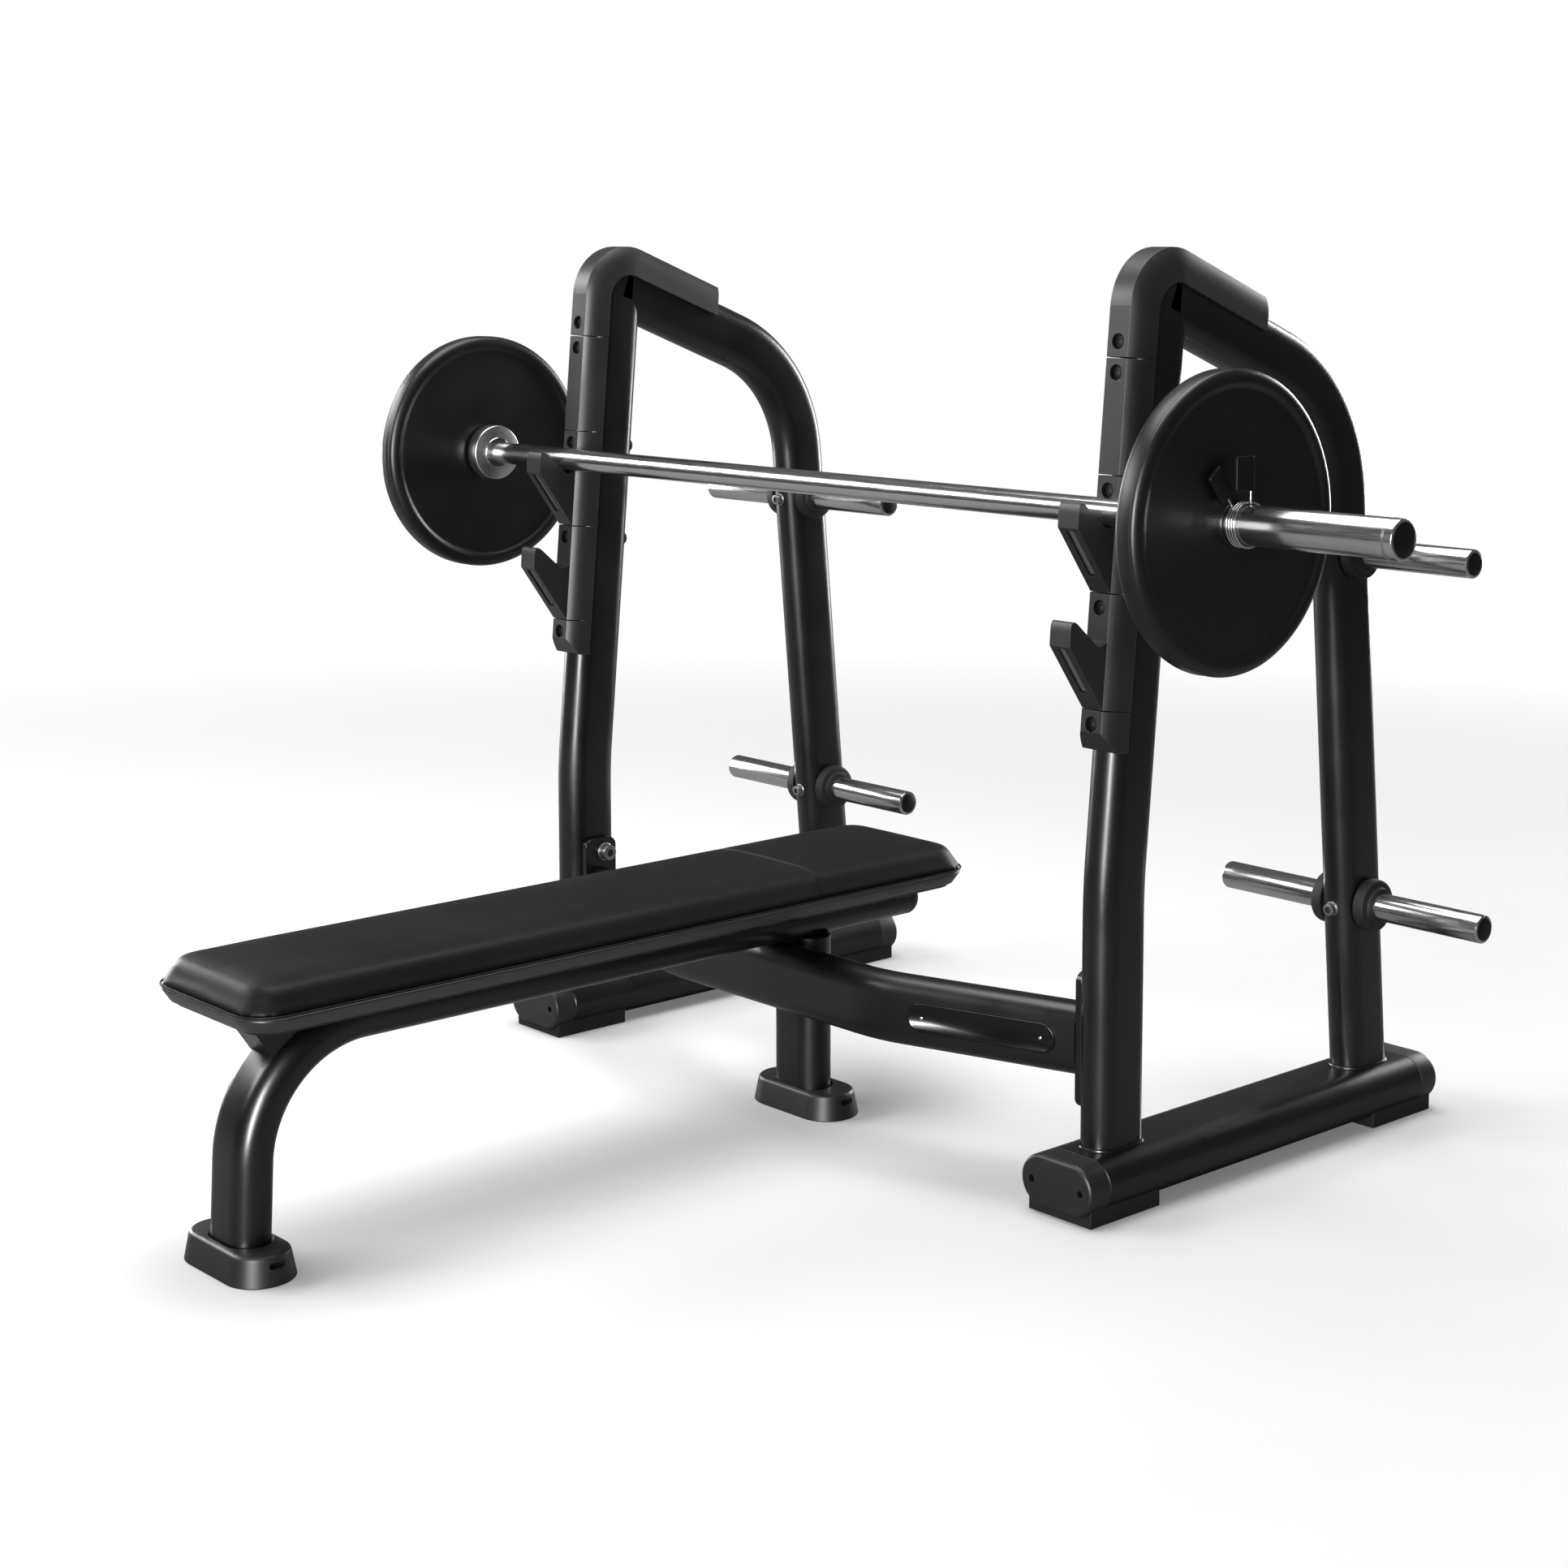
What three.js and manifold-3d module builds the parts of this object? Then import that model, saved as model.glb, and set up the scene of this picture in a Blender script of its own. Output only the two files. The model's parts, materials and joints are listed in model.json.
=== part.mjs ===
// Olympic bench press with a loaded barbell, in millimetres, +Z up.
// The lifter lies along Y with the head towards +Y, under the bar.
// Origin: middle of the whole object's box seen from above, on the floor.
import * as THREE from "three";
import { mergeVertices } from "three/addons/utils/BufferGeometryUtils.js";
import Module from "manifold-3d";

const wasm = await Module();
wasm.setup();

// ---- Driving dimensions ----
const GAP = 0.3; // left between pieces that touch
const ROUND = 5; // fineness of every round outline
const BEND_STEP = THREE.MathUtils.degToRad(8); // largest turn between two sections of a bent tube

const TUBE_NARROW = 57; // flat-sided oval frame tube, across its flats
const TUBE_WIDE = 92; // the same tube, over its round edges
const TUBE_RADIUS = TUBE_NARROW / 2;

const FRAME_X = 575; // middle plane of each side frame
const LEAN = THREE.MathUtils.degToRad(5.07); // uprights lean back, arches lean forward

const BASE_WIDE = 126;
const BASE_TALL = 70;
const BASE_Z = 46;
const BASE_FRONT = 81.5;
const BASE_REAR = 832.5;
const BASE_TOP = BASE_Z + BASE_TALL / 2;
const BASE_CAP_LENGTH = 38;
const CAP_BEVEL = 4.5;
const CAP_SCREW_X = 43;
const CAP_SCREW_RADIUS = 4.5;

const FLOOR_PAD_WIDE = 110.6;
const FLOOR_PAD_LONG = 135;
const FLOOR_PAD_INSET = 8; // from each end of the base to the pad's end

const UPRIGHT_Y = 188.1; // upright axis where it stands vertical
const UPRIGHT_BEND_Z = 425; // where the lean starts
const UPRIGHT_LENGTH = 800; // leaning run
const UPRIGHT_BEND_RADIUS = 900;

const ARCH_FOOT_Y = 722.4; // arch axis at the top of the base
const ARCH_CORNER_Z = 1053.5;
const ARCH_PITCH = THREE.MathUtils.degToRad(21.1); // rise of the top run towards the upright
const ARCH_BEND_RADIUS = 225;
const ARCH_END_Y = 260;

const COVER_REACH = 67; // cover's front face, from the tube's axis
const COVER_FACE = 35; // width of the flat front face
const COVER_BACK = 70; // width at the back edge
const COVER_DEPTH = 36.6;
const TOP_COVER_DEPTH = 48; // over the arch
const COVER_CLEARANCE = 0.4;
const COVER_PITCH = 151.4; // length of one cover along the upright
const FIRST_JOINT = 238; // joint between end cover and lower hook, along the lean
const JOINT_GAP = 1.6;
const COVER_SCREW_RADIUS = 10;
const COVER_SCREW_DEPTH = 9;
const COVER_SCREW_INSET = 20; // screw to the joint above it
const END_COVER_LENGTH = 55;
const TOP_COVER_BEND_RADIUS = 82;
const TOP_COVER_END_Y = 460.5;

const HORN_RADIUS = 20;
const HORN_REACH = 225; // each side of the side frame
const HORN_HEIGHTS = { lower: 323, upper: 835 };
const BUMPER_RADIUS = 37.5;
const BUMPER_THICK = 18;
const BUMPER_HUB_RADIUS = 27;
const BUMPER_HUB = 5;

const CROSS_TALL = 99;
const CROSS_Z = 212.5;
const CROSS_FRONT_Y = 95.5; // axis of the middle run
const CROSS_MIDDLE_X = 230; // where the middle run ends
const CROSS_BEND_RADIUS = 260;
const FLANGE_THICK = 11;
const FLANGE_WIDE = 61;
const FLANGE_Y = UPRIGHT_Y + 1.6;
const FLANGE_TALL = 184;
const FLANGE_Z = 217;
const FLANGE_CORNER = 14;
const BADGE_LONG = 224;
const BADGE_TALL = 41;
const BADGE_THICK = 3;
const BADGE_X = 392.5;

const BEAM_Z = 291; // axis of the bench's spine
const BEAM_HEAD_Y = 348.5;
const LEG_FOOT_Y = -783.5;
const LEG_CORNER_Y = -768;
const LEG_BEND_RADIUS = 165;
const POST_Y = 153;
const BRACKET_WIDE = 54;

const FOOT_COVER_WIDE = 184;
const FOOT_COVER_DEEP = 92;
const FOOT_COVER_TALL = 38;
const FOOT_TAPER = 6; // each side, over almost all of its height

const PAD_WIDE = 264;
const PAD_FOOT_Y = -832.5;
const PAD_HEAD_Y = 376.5;
const PAD_CORNER = 50;
const PAD_LEDGE_Z = 345;
const PAD_TOP_Z = 386;
const PAD_SLOPE = 15; // inset of the side's slope, from the ledge to the shoulder
const PAD_SHOULDER = 29; // shoulder above the ledge
const PAD_ROUNDING = 16; // from the shoulder to the flat top
const TRIM_TALL = 20;
const TRIM_TAPER = 11;
const BOARD_INSET = 18;

const BAR_Y = 147;
const BAR_Z = 925;
const SHAFT_RADIUS = 17.25;
const SHAFT_CORE_RADIUS = 14; // inside the sleeves
const COLLAR_X = 747; // inner face of the sleeve's collar
const COLLAR_RADIUS = 44;
const COLLAR_THICK = 23;
const SLEEVE_RADIUS = 25;
const SLEEVE_END_X = 1052;
const PLATE_RADIUS = 189;
const PLATE_THICK = 38;
const PLATE_RECESS = 5;

const CLIP_RADIUS = 27.5; // axis of the coiled wire
const WIRE_RADIUS = 1.75;
const CLIP_PITCH = 4;
const CLIP_START = THREE.MathUtils.degToRad(38); // lever side, forward of upright
const CLIP_TURN = THREE.MathUtils.degToRad(4 * 360) - CLIP_START; // to the upright fixed grip
const GRIP_INNER = 42; // from the bar's axis to the grip
const GRIP_TALL = 43;
const FIXED_GRIP_WIDE = 33;
const FIXED_GRIP_FORWARD = 13;
const LEVER_GRIP_WIDE = 26;
const GRIP_THICK = 5;

// ---- Finishes ----
const FINISHES = {
  frame: { color: 0x17181a, roughness: 0.42, metalness: 0.25 },
  plastic: { color: 0x333437, roughness: 0.62, metalness: 0 },
  rubber: { color: 0x141415, roughness: 0.85, metalness: 0 },
  plate: { color: 0x1b1b1c, roughness: 0.7, metalness: 0 },
  vinyl: { color: 0x1a1a1b, roughness: 0.5, metalness: 0 },
  trim: { color: 0x4a4b4e, roughness: 0.4, metalness: 0 },
  board: { color: 0x101011, roughness: 0.35, metalness: 0 },
  chrome: { color: 0xd6d8db, roughness: 0.16, metalness: 1 },
  badge: { color: 0x0d0d0e, roughness: 0.2, metalness: 0 },
  grip: { color: 0x0f0f10, roughness: 0.6, metalness: 0 },
};

// ---- Solids ----
function toSolid(geometry) {
  const bare = geometry.index ? geometry.toNonIndexed() : geometry.clone();
  bare.deleteAttribute("normal");
  bare.deleteAttribute("uv");
  const merged = mergeVertices(bare, 1e-3);
  const vertProperties = merged.attributes.position.array;
  const triVerts = new Uint32Array(merged.index.array);
  return new wasm.Manifold(new wasm.Mesh({ numProp: 3, vertProperties, triVerts }));
}

function toGeometry(solid) {
  const mesh = solid.getMesh();
  const geometry = new THREE.BufferGeometry();
  geometry.setAttribute("position", new THREE.BufferAttribute(mesh.vertProperties, 3));
  geometry.setIndex(new THREE.BufferAttribute(mesh.triVerts, 1));
  return geometry;
}

function cut(body, ...tools) {
  return toGeometry(tools.reduce((solid, tool) => solid.subtract(toSolid(tool)), toSolid(body)));
}

function join(body, ...others) {
  return toGeometry(others.reduce((solid, other) => solid.add(toSolid(other)), toSolid(body)));
}

// ---- Outlines ----
// Flat sides and two half-round ends, along whichever size is the longer.
function oval(sizeX, sizeY) {
  const shape = new THREE.Shape();
  const radius = Math.min(sizeX, sizeY) / 2;
  const offsetX = sizeX / 2 - radius;
  const offsetY = sizeY / 2 - radius;
  const turn = offsetX > 0 ? -Math.PI / 2 : 0;
  shape.absarc(offsetX, offsetY, radius, turn, turn + Math.PI);
  shape.absarc(-offsetX, -offsetY, radius, turn + Math.PI, turn + 2 * Math.PI);
  return shape;
}

function roundedBox(sizeX, sizeY, corner) {
  const shape = new THREE.Shape();
  const x = sizeX / 2 - corner;
  const y = sizeY / 2 - corner;
  const quarter = Math.PI / 2;
  shape.absarc(x, -y, corner, -quarter, 0);
  shape.absarc(x, y, corner, 0, quarter);
  shape.absarc(-x, y, corner, quarter, 2 * quarter);
  shape.absarc(-x, -y, corner, 2 * quarter, 3 * quarter);
  return shape;
}

function polygon(...points) {
  return new THREE.Shape(points.map(([x, y]) => new THREE.Vector2(x, y)));
}

// ---- Straight and bent runs ----
function alongZ(shape, from, to) {
  const options = { depth: to - from, bevelEnabled: false, curveSegments: ROUND };
  return new THREE.ExtrudeGeometry(shape, options).translate(0, 0, from);
}

// The outline's x stays x and its y becomes z.
function alongY(shape, from, to) {
  return alongZ(shape, -to, -from).rotateX(Math.PI / 2);
}

// The outline's x becomes y and its y becomes z.
function alongX(shape, from, to) {
  const turn = new THREE.Matrix4().makeBasis(
    new THREE.Vector3(0, 1, 0),
    new THREE.Vector3(0, 0, 1),
    new THREE.Vector3(1, 0, 0),
  );
  return alongZ(shape, from, to).applyMatrix4(turn);
}

// Extruded upwards from z = 0 with its top edge bevelled: the outline is the widest section.
function bevelledTop(makeOutline, height, bevel, rise = bevel, bevelSegments = 1) {
  const options = {
    depth: height - rise,
    bevelThickness: rise,
    bevelSize: bevel,
    bevelSegments,
    curveSegments: ROUND,
  };
  const body = new THREE.ExtrudeGeometry(makeOutline(bevel), options);
  return cut(body, new THREE.BoxGeometry(3000, 3000, 200).translate(0, 0, -100));
}

function direction(from, to) {
  return to.clone().sub(from).normalize();
}

// A centre line of straight runs joined by round bends, with stations only where it turns.
class BentLine extends THREE.Curve {
  constructor(corners, radius) {
    super();
    this.stations = [{ point: corners[0], tangent: direction(corners[0], corners[1]) }];
    for (let i = 1; i < corners.length - 1; i++) {
      this.addBend(corners[i - 1], corners[i], corners[i + 1], radius);
    }
    const [before, last] = corners.slice(-2);
    this.stations.push({ point: last, tangent: direction(before, last) });
    this.steps = this.stations.length - 1;
  }

  addBend(before, corner, after, radius) {
    const arriving = direction(before, corner);
    const leaving = direction(corner, after);
    const turn = arriving.angleTo(leaving);
    const start = corner.clone().addScaledVector(arriving, -radius * Math.tan(turn / 2));
    const inward = leaving.clone().addScaledVector(arriving, -arriving.dot(leaving)).normalize();
    const steps = Math.max(2, Math.ceil(turn / BEND_STEP));
    for (let i = 0; i <= steps; i++) {
      const angle = (turn * i) / steps;
      const point = start
        .clone()
        .addScaledVector(arriving, radius * Math.sin(angle))
        .addScaledVector(inward, radius * (1 - Math.cos(angle)));
      const tangent = arriving
        .clone()
        .multiplyScalar(Math.cos(angle))
        .addScaledVector(inward, Math.sin(angle));
      this.stations.push({ point, tangent });
    }
  }

  getPointAt(u) {
    return this.stations[Math.round(u * this.steps)].point.clone();
  }

  getTangentAt(u) {
    return this.stations[Math.round(u * this.steps)].tangent.clone();
  }

  getPoint(t) {
    return this.getPointAt(t);
  }
}

// A tube of oval section. The line is flat, and across is the direction square to its plane.
function bentTube(line, sizeAcross, sizeInPlane, across) {
  const firstNormal = line.computeFrenetFrames(line.steps, false).normals[0];
  const normalIsAcross = Math.abs(firstNormal.dot(across)) > 0.5;
  const section = normalIsAcross ? oval(sizeAcross, sizeInPlane) : oval(sizeInPlane, sizeAcross);
  const options = { extrudePath: line, steps: line.steps, curveSegments: ROUND };
  return new THREE.ExtrudeGeometry(section, options);
}

// A solid turned about the X axis from [x, radius] pairs.
function turned(profile, segments, closed = false) {
  const points = profile.map(([x, radius]) => new THREE.Vector2(radius, x));
  if (closed) points.push(points[0].clone());
  return new THREE.LatheGeometry(points, segments).rotateZ(-Math.PI / 2);
}

function rodX(radius, from, to, segments) {
  return turned([[from, 0], [from, radius], [to, radius], [to, 0]], segments);
}

function add(parent, name, geometry, finish) {
  const mesh = new THREE.Mesh(geometry, new THREE.MeshStandardMaterial(FINISHES[finish]));
  mesh.name = name;
  parent.add(mesh);
}

// ---- Side frame: base ----
const AXIS_X = new THREE.Vector3(1, 0, 0);
const AXIS_Z = new THREE.Vector3(0, 0, 1);

function baseTube() {
  const inset = BASE_CAP_LENGTH + GAP;
  return alongY(oval(BASE_WIDE, BASE_TALL), BASE_FRONT + inset, BASE_REAR - inset);
}

// Stands on its joint with the tube at z = 0, outer face up.
function baseCap() {
  const outline = (bevel) => oval(BASE_WIDE - 2 * bevel, BASE_TALL - 2 * bevel);
  const body = bevelledTop(outline, BASE_CAP_LENGTH, CAP_BEVEL);
  const screwHoles = [-CAP_SCREW_X, CAP_SCREW_X].map((x) =>
    alongZ(oval(2 * CAP_SCREW_RADIUS, 2 * CAP_SCREW_RADIUS), BASE_CAP_LENGTH - 8, 50).translate(x, 0, 0),
  );
  return cut(body, ...screwHoles);
}

// A rubber block whose top is hollowed to the base tube's underside.
function floorPad(y) {
  const half = FLOOR_PAD_WIDE / 2;
  const block = alongY(polygon([-half, 0], [half, 0], [half, 40], [-half, 40]), y, y + FLOOR_PAD_LONG);
  const clearance = 2 * GAP;
  const tube = alongY(oval(BASE_WIDE + clearance, BASE_TALL + clearance), y - 10, y + FLOOR_PAD_LONG + 10);
  const above = new THREE.BoxGeometry(200, 400, 60).translate(0, y + 100, BASE_Z + 30);
  return cut(block, tube.translate(0, 0, BASE_Z), above);
}

// ---- Side frame: upright and arch ----
function uprightLine(extra = 0) {
  const reach = UPRIGHT_LENGTH + extra;
  const top = [UPRIGHT_Y + reach * Math.sin(LEAN), UPRIGHT_BEND_Z + reach * Math.cos(LEAN)];
  const corners = [
    new THREE.Vector3(0, UPRIGHT_Y, BASE_TOP + GAP),
    new THREE.Vector3(0, UPRIGHT_Y, UPRIGHT_BEND_Z),
    new THREE.Vector3(0, ...top),
  ];
  return new BentLine(corners, UPRIGHT_BEND_RADIUS);
}

function archAxisY(z) {
  return ARCH_FOOT_Y - (z - BASE_TOP) * Math.tan(LEAN);
}

function archLine() {
  const cornerY = archAxisY(ARCH_CORNER_Z);
  const endZ = ARCH_CORNER_Z + (cornerY - ARCH_END_Y) * Math.tan(ARCH_PITCH);
  const corners = [
    new THREE.Vector3(0, archAxisY(0), 0),
    new THREE.Vector3(0, cornerY, ARCH_CORNER_Z),
    new THREE.Vector3(0, ARCH_END_Y, endZ),
  ];
  return new BentLine(corners, ARCH_BEND_RADIUS);
}

// The frame tube along a line in the YZ plane, grown all round by a clearance.
function frameTube(line, clearance = 0) {
  return bentTube(line, TUBE_NARROW + 2 * clearance, TUBE_WIDE + 2 * clearance, AXIS_X);
}

// The arch is coped to the upright, cut level on the base and bored for the horns.
function rearArch() {
  const below = new THREE.BoxGeometry(200, 400, 200).translate(0, ARCH_FOOT_Y, BASE_TOP + GAP - 100);
  const bores = Object.values(HORN_HEIGHTS).map((z) =>
    rodX(HORN_RADIUS + 2 * GAP, -60, 60, 24).translate(0, archAxisY(z), z),
  );
  return cut(frameTube(archLine()), frameTube(uprightLine(1), 2 * GAP), below, ...bores);
}

// ---- Side frame: storage horns ----
function horn() {
  const chamfer = 2;
  const profile = [
    [-HORN_REACH, 0],
    [-HORN_REACH, HORN_RADIUS - chamfer],
    [-HORN_REACH + chamfer, HORN_RADIUS],
    [HORN_REACH - chamfer, HORN_RADIUS],
    [HORN_REACH, HORN_RADIUS - chamfer],
    [HORN_REACH, 0],
  ];
  return turned(profile, 20);
}

// A rubber flange that faces +X, with its back at x = 0.
function bumper() {
  const edge = 4;
  const profile = [
    [0, HORN_RADIUS + GAP],
    [0, BUMPER_RADIUS],
    [BUMPER_THICK - edge, BUMPER_RADIUS],
    [BUMPER_THICK, BUMPER_RADIUS - edge],
    [BUMPER_THICK, BUMPER_HUB_RADIUS],
    [BUMPER_THICK + BUMPER_HUB, BUMPER_HUB_RADIUS - 2],
    [BUMPER_THICK + BUMPER_HUB, HORN_RADIUS + GAP],
  ];
  return turned(profile, 20, true);
}

// ---- Side frame: covers ----
// In a frame that leans with the upright, with its origin on the tube's axis.
function coverFlank(shape, side, depthScale) {
  const edge = (COVER_BACK / 2) * side;
  const shoulder = 32 * side;
  shape.quadraticCurveTo(27.5 * side, 9 * depthScale, shoulder, 27 * depthScale);
  shape.lineTo(edge, COVER_DEPTH * depthScale);
}

// Half-open channel: flat front face, curved flanks and a hollow that fits the tube.
function channelOutline() {
  const half = COVER_FACE / 2;
  const shape = new THREE.Shape();
  shape.moveTo(-half, 0);
  shape.lineTo(half, 0);
  coverFlank(shape, 1, 1);
  const centre = COVER_REACH - TUBE_WIDE / 2 + TUBE_RADIUS;
  const radius = TUBE_RADIUS + COVER_CLEARANCE;
  const rise = Math.asin((centre - COVER_DEPTH) / radius);
  shape.absarc(0, centre, radius, -rise, -Math.PI + rise, true);
  shape.lineTo(-COVER_BACK / 2, COVER_DEPTH);
  shape.lineTo(-32, 27);
  shape.quadraticCurveTo(-27.5, 9, -half, 0);
  return shape;
}

function channel(from, to) {
  return alongZ(channelOutline(), from, to).translate(0, -COVER_REACH, 0);
}

function screwHole(z) {
  const hole = oval(2 * COVER_SCREW_RADIUS, 2 * COVER_SCREW_RADIUS);
  return alongY(hole, -COVER_REACH - 5, -COVER_REACH + COVER_SCREW_DEPTH).translate(0, 0, z);
}

function spacerCover() {
  const top = COVER_PITCH - JOINT_GAP;
  return cut(channel(0, top), screwHole(COVER_PITCH - COVER_SCREW_INSET));
}

// The hook's arm from the side: outer slope, blunt tip, inner slope and the seat for the bar.
function hookOutline() {
  const shape = new THREE.Shape();
  shape.moveTo(-60, 0.5);
  shape.lineTo(-COVER_REACH - 0.4, 0.5);
  shape.lineTo(-137, 81.5);
  shape.lineTo(-137.5, 101);
  shape.quadraticCurveTo(-138, 121, -124, 111.2);
  shape.lineTo(-84.2, 82.8);
  shape.quadraticCurveTo(-77, 81, -COVER_REACH - 0.6, 88.1);
  shape.lineTo(-60, 92);
  return shape;
}

function hookCover() {
  const half = COVER_FACE / 2;
  return join(spacerCover(), alongX(hookOutline(), -half, half));
}

// The lowest cover: its foot slopes back to the tube.
function endCover() {
  const bottom = -END_COVER_LENGTH;
  const foot = alongX(polygon([-80, bottom + 39.6], [-20, bottom - 32.7], [-80, bottom - 40]), -60, 60);
  return cut(channel(bottom, -JOINT_GAP), foot, screwHole(-COVER_SCREW_INSET));
}

function meet(pointA, alongA, pointB, alongB) {
  const apart = pointB.clone().sub(pointA);
  const travel = apart.cross(alongB).dot(AXIS_X) / alongA.clone().cross(alongB).dot(AXIS_X);
  return pointA.clone().addScaledVector(alongA, travel);
}

// The top cover's ridge: up the leaning face, round the corner and down along the arch.
function ridgeLine() {
  const up = new THREE.Vector3(0, Math.sin(LEAN), Math.cos(LEAN));
  const front = new THREE.Vector3(0, -Math.cos(LEAN), Math.sin(LEAN));
  const back = new THREE.Vector3(0, Math.cos(ARCH_PITCH), -Math.sin(ARCH_PITCH));
  const over = new THREE.Vector3(0, Math.sin(ARCH_PITCH), Math.cos(ARCH_PITCH));
  const face = new THREE.Vector3(0, UPRIGHT_Y, UPRIGHT_BEND_Z).addScaledVector(front, COVER_REACH);
  const archCorner = new THREE.Vector3(0, archAxisY(ARCH_CORNER_Z), ARCH_CORNER_Z);
  const top = archCorner.addScaledVector(over, COVER_REACH);
  const corner = meet(face, up, top, back);
  const start = face.clone().addScaledVector(up, FIRST_JOINT + 3 * COVER_PITCH);
  const end = corner.clone().addScaledVector(back, (TOP_COVER_END_Y - corner.y) / back.y);
  return new BentLine([start, corner, end], TOP_COVER_BEND_RADIUS);
}

function topCoverOutline() {
  const half = COVER_FACE / 2;
  const shape = new THREE.Shape();
  shape.moveTo(-half, 0);
  shape.lineTo(half, 0);
  coverFlank(shape, 1, 1);
  shape.lineTo(-COVER_BACK / 2, COVER_DEPTH);
  shape.lineTo(-32, 27);
  shape.quadraticCurveTo(-27.5, 9, -half, 0);
  return shape;
}

// A straight run of the outline bent along the ridge, getting deeper from the upright to the arch.
function topCover() {
  const ridge = ridgeLine();
  const options = { depth: 1, steps: ridge.steps, bevelEnabled: false, curveSegments: ROUND };
  const body = new THREE.ExtrudeGeometry(topCoverOutline(), options);
  const places = body.attributes.position;
  const deepening = TOP_COVER_DEPTH / COVER_DEPTH - 1;
  for (let i = 0; i < places.count; i++) {
    const station = ridge.stations[Math.round(places.getZ(i) * ridge.steps)];
    const round = THREE.MathUtils.clamp((places.getZ(i) * ridge.steps - 1) / (ridge.steps - 2), 0, 1);
    const depth = places.getY(i) * (1 + deepening * round);
    const inward = new THREE.Vector3().crossVectors(station.tangent, AXIS_X);
    const place = station.point.clone().addScaledVector(inward, depth);
    places.setXYZ(i, places.getX(i), place.y, place.z);
  }
  return body;
}

function fittedTopCover() {
  const hole = screwHole(FIRST_JOINT + 3 * COVER_PITCH + COVER_SCREW_INSET);
  hole.rotateX(-LEAN).translate(0, UPRIGHT_Y, UPRIGHT_BEND_Z);
  const upright = frameTube(uprightLine(1), COVER_CLEARANCE);
  return cut(topCover(), upright, frameTube(archLine(), COVER_CLEARANCE), hole);
}

function addCovers(frame, side) {
  const leaning = new THREE.Group();
  leaning.position.set(0, UPRIGHT_Y, UPRIGHT_BEND_Z);
  leaning.rotation.x = -LEAN;
  frame.add(leaning);
  const covers = {
    end_cover: endCover(),
    lower_hook: hookCover(),
    upper_hook: hookCover(),
    spacer_cover: spacerCover(),
  };
  Object.entries(covers).forEach(([name, geometry], i) => {
    const z = FIRST_JOINT + Math.max(0, i - 1) * COVER_PITCH;
    add(leaning, `${name}_${side}`, geometry.translate(0, 0, z), "plastic");
  });
  add(frame, `top_cover_${side}`, fittedTopCover(), "plastic");
}

// ---- Side frame ----
function addBase(frame, side) {
  add(frame, `base_tube_${side}`, baseTube().translate(0, 0, BASE_Z), "frame");
  const front = baseCap().rotateX(Math.PI / 2).translate(0, BASE_FRONT + BASE_CAP_LENGTH, BASE_Z);
  const rear = baseCap().rotateX(-Math.PI / 2).translate(0, BASE_REAR - BASE_CAP_LENGTH, BASE_Z);
  add(frame, `base_cap_front_${side}`, front, "plastic");
  add(frame, `base_cap_rear_${side}`, rear, "plastic");
  add(frame, `floor_pad_front_${side}`, floorPad(BASE_FRONT + FLOOR_PAD_INSET), "rubber");
  add(frame, `floor_pad_rear_${side}`, floorPad(BASE_REAR - FLOOR_PAD_INSET - FLOOR_PAD_LONG), "rubber");
}

function addHorns(frame, side) {
  for (const [level, z] of Object.entries(HORN_HEIGHTS)) {
    const y = archAxisY(z);
    const seat = TUBE_RADIUS + GAP;
    add(frame, `storage_horn_${level}_${side}`, horn().translate(0, y, z), "chrome");
    const outer = bumper().translate(seat, y, z);
    const inner = bumper().rotateZ(Math.PI).translate(-seat, y, z);
    add(frame, `horn_bumper_${level}_outer_${side}`, outer, "rubber");
    add(frame, `horn_bumper_${level}_inner_${side}`, inner, "rubber");
  }
}

function flangePlate() {
  const outer = -TUBE_RADIUS - GAP;
  const plate = alongX(roundedBox(FLANGE_WIDE, FLANGE_TALL, FLANGE_CORNER), outer - FLANGE_THICK, outer);
  return plate.translate(0, FLANGE_Y, FLANGE_Z);
}

function sideFrame(side, sign) {
  const frame = new THREE.Group();
  frame.position.x = sign * FRAME_X;
  frame.scale.x = sign;
  addBase(frame, side);
  add(frame, `front_upright_${side}`, frameTube(uprightLine()), "frame");
  add(frame, `rear_arch_${side}`, rearArch(), "frame");
  addCovers(frame, side);
  addHorns(frame, side);
  add(frame, `flange_plate_${side}`, flangePlate(), "frame");
  return frame;
}

// ---- Crossmember ----
const CROSS_END_X = FRAME_X - TUBE_RADIUS - FLANGE_THICK - 2 * GAP;

function crossmemberLine() {
  const past = FRAME_X;
  const slope = (UPRIGHT_Y - CROSS_FRONT_Y) / (CROSS_END_X - CROSS_MIDDLE_X);
  const endY = CROSS_FRONT_Y + slope * (past - CROSS_MIDDLE_X);
  const corners = [
    new THREE.Vector3(-past, endY, CROSS_Z),
    new THREE.Vector3(-CROSS_MIDDLE_X, CROSS_FRONT_Y, CROSS_Z),
    new THREE.Vector3(CROSS_MIDDLE_X, CROSS_FRONT_Y, CROSS_Z),
    new THREE.Vector3(past, endY, CROSS_Z),
  ];
  return new BentLine(corners, CROSS_BEND_RADIUS);
}

function crossmember() {
  const tube = bentTube(crossmemberLine(), CROSS_TALL, TUBE_NARROW, AXIS_Z);
  const beyond = [-1, 1].map((sign) =>
    new THREE.BoxGeometry(200, 400, 200).translate(sign * (CROSS_END_X + 100), UPRIGHT_Y, CROSS_Z),
  );
  return cut(tube, ...beyond);
}

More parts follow.
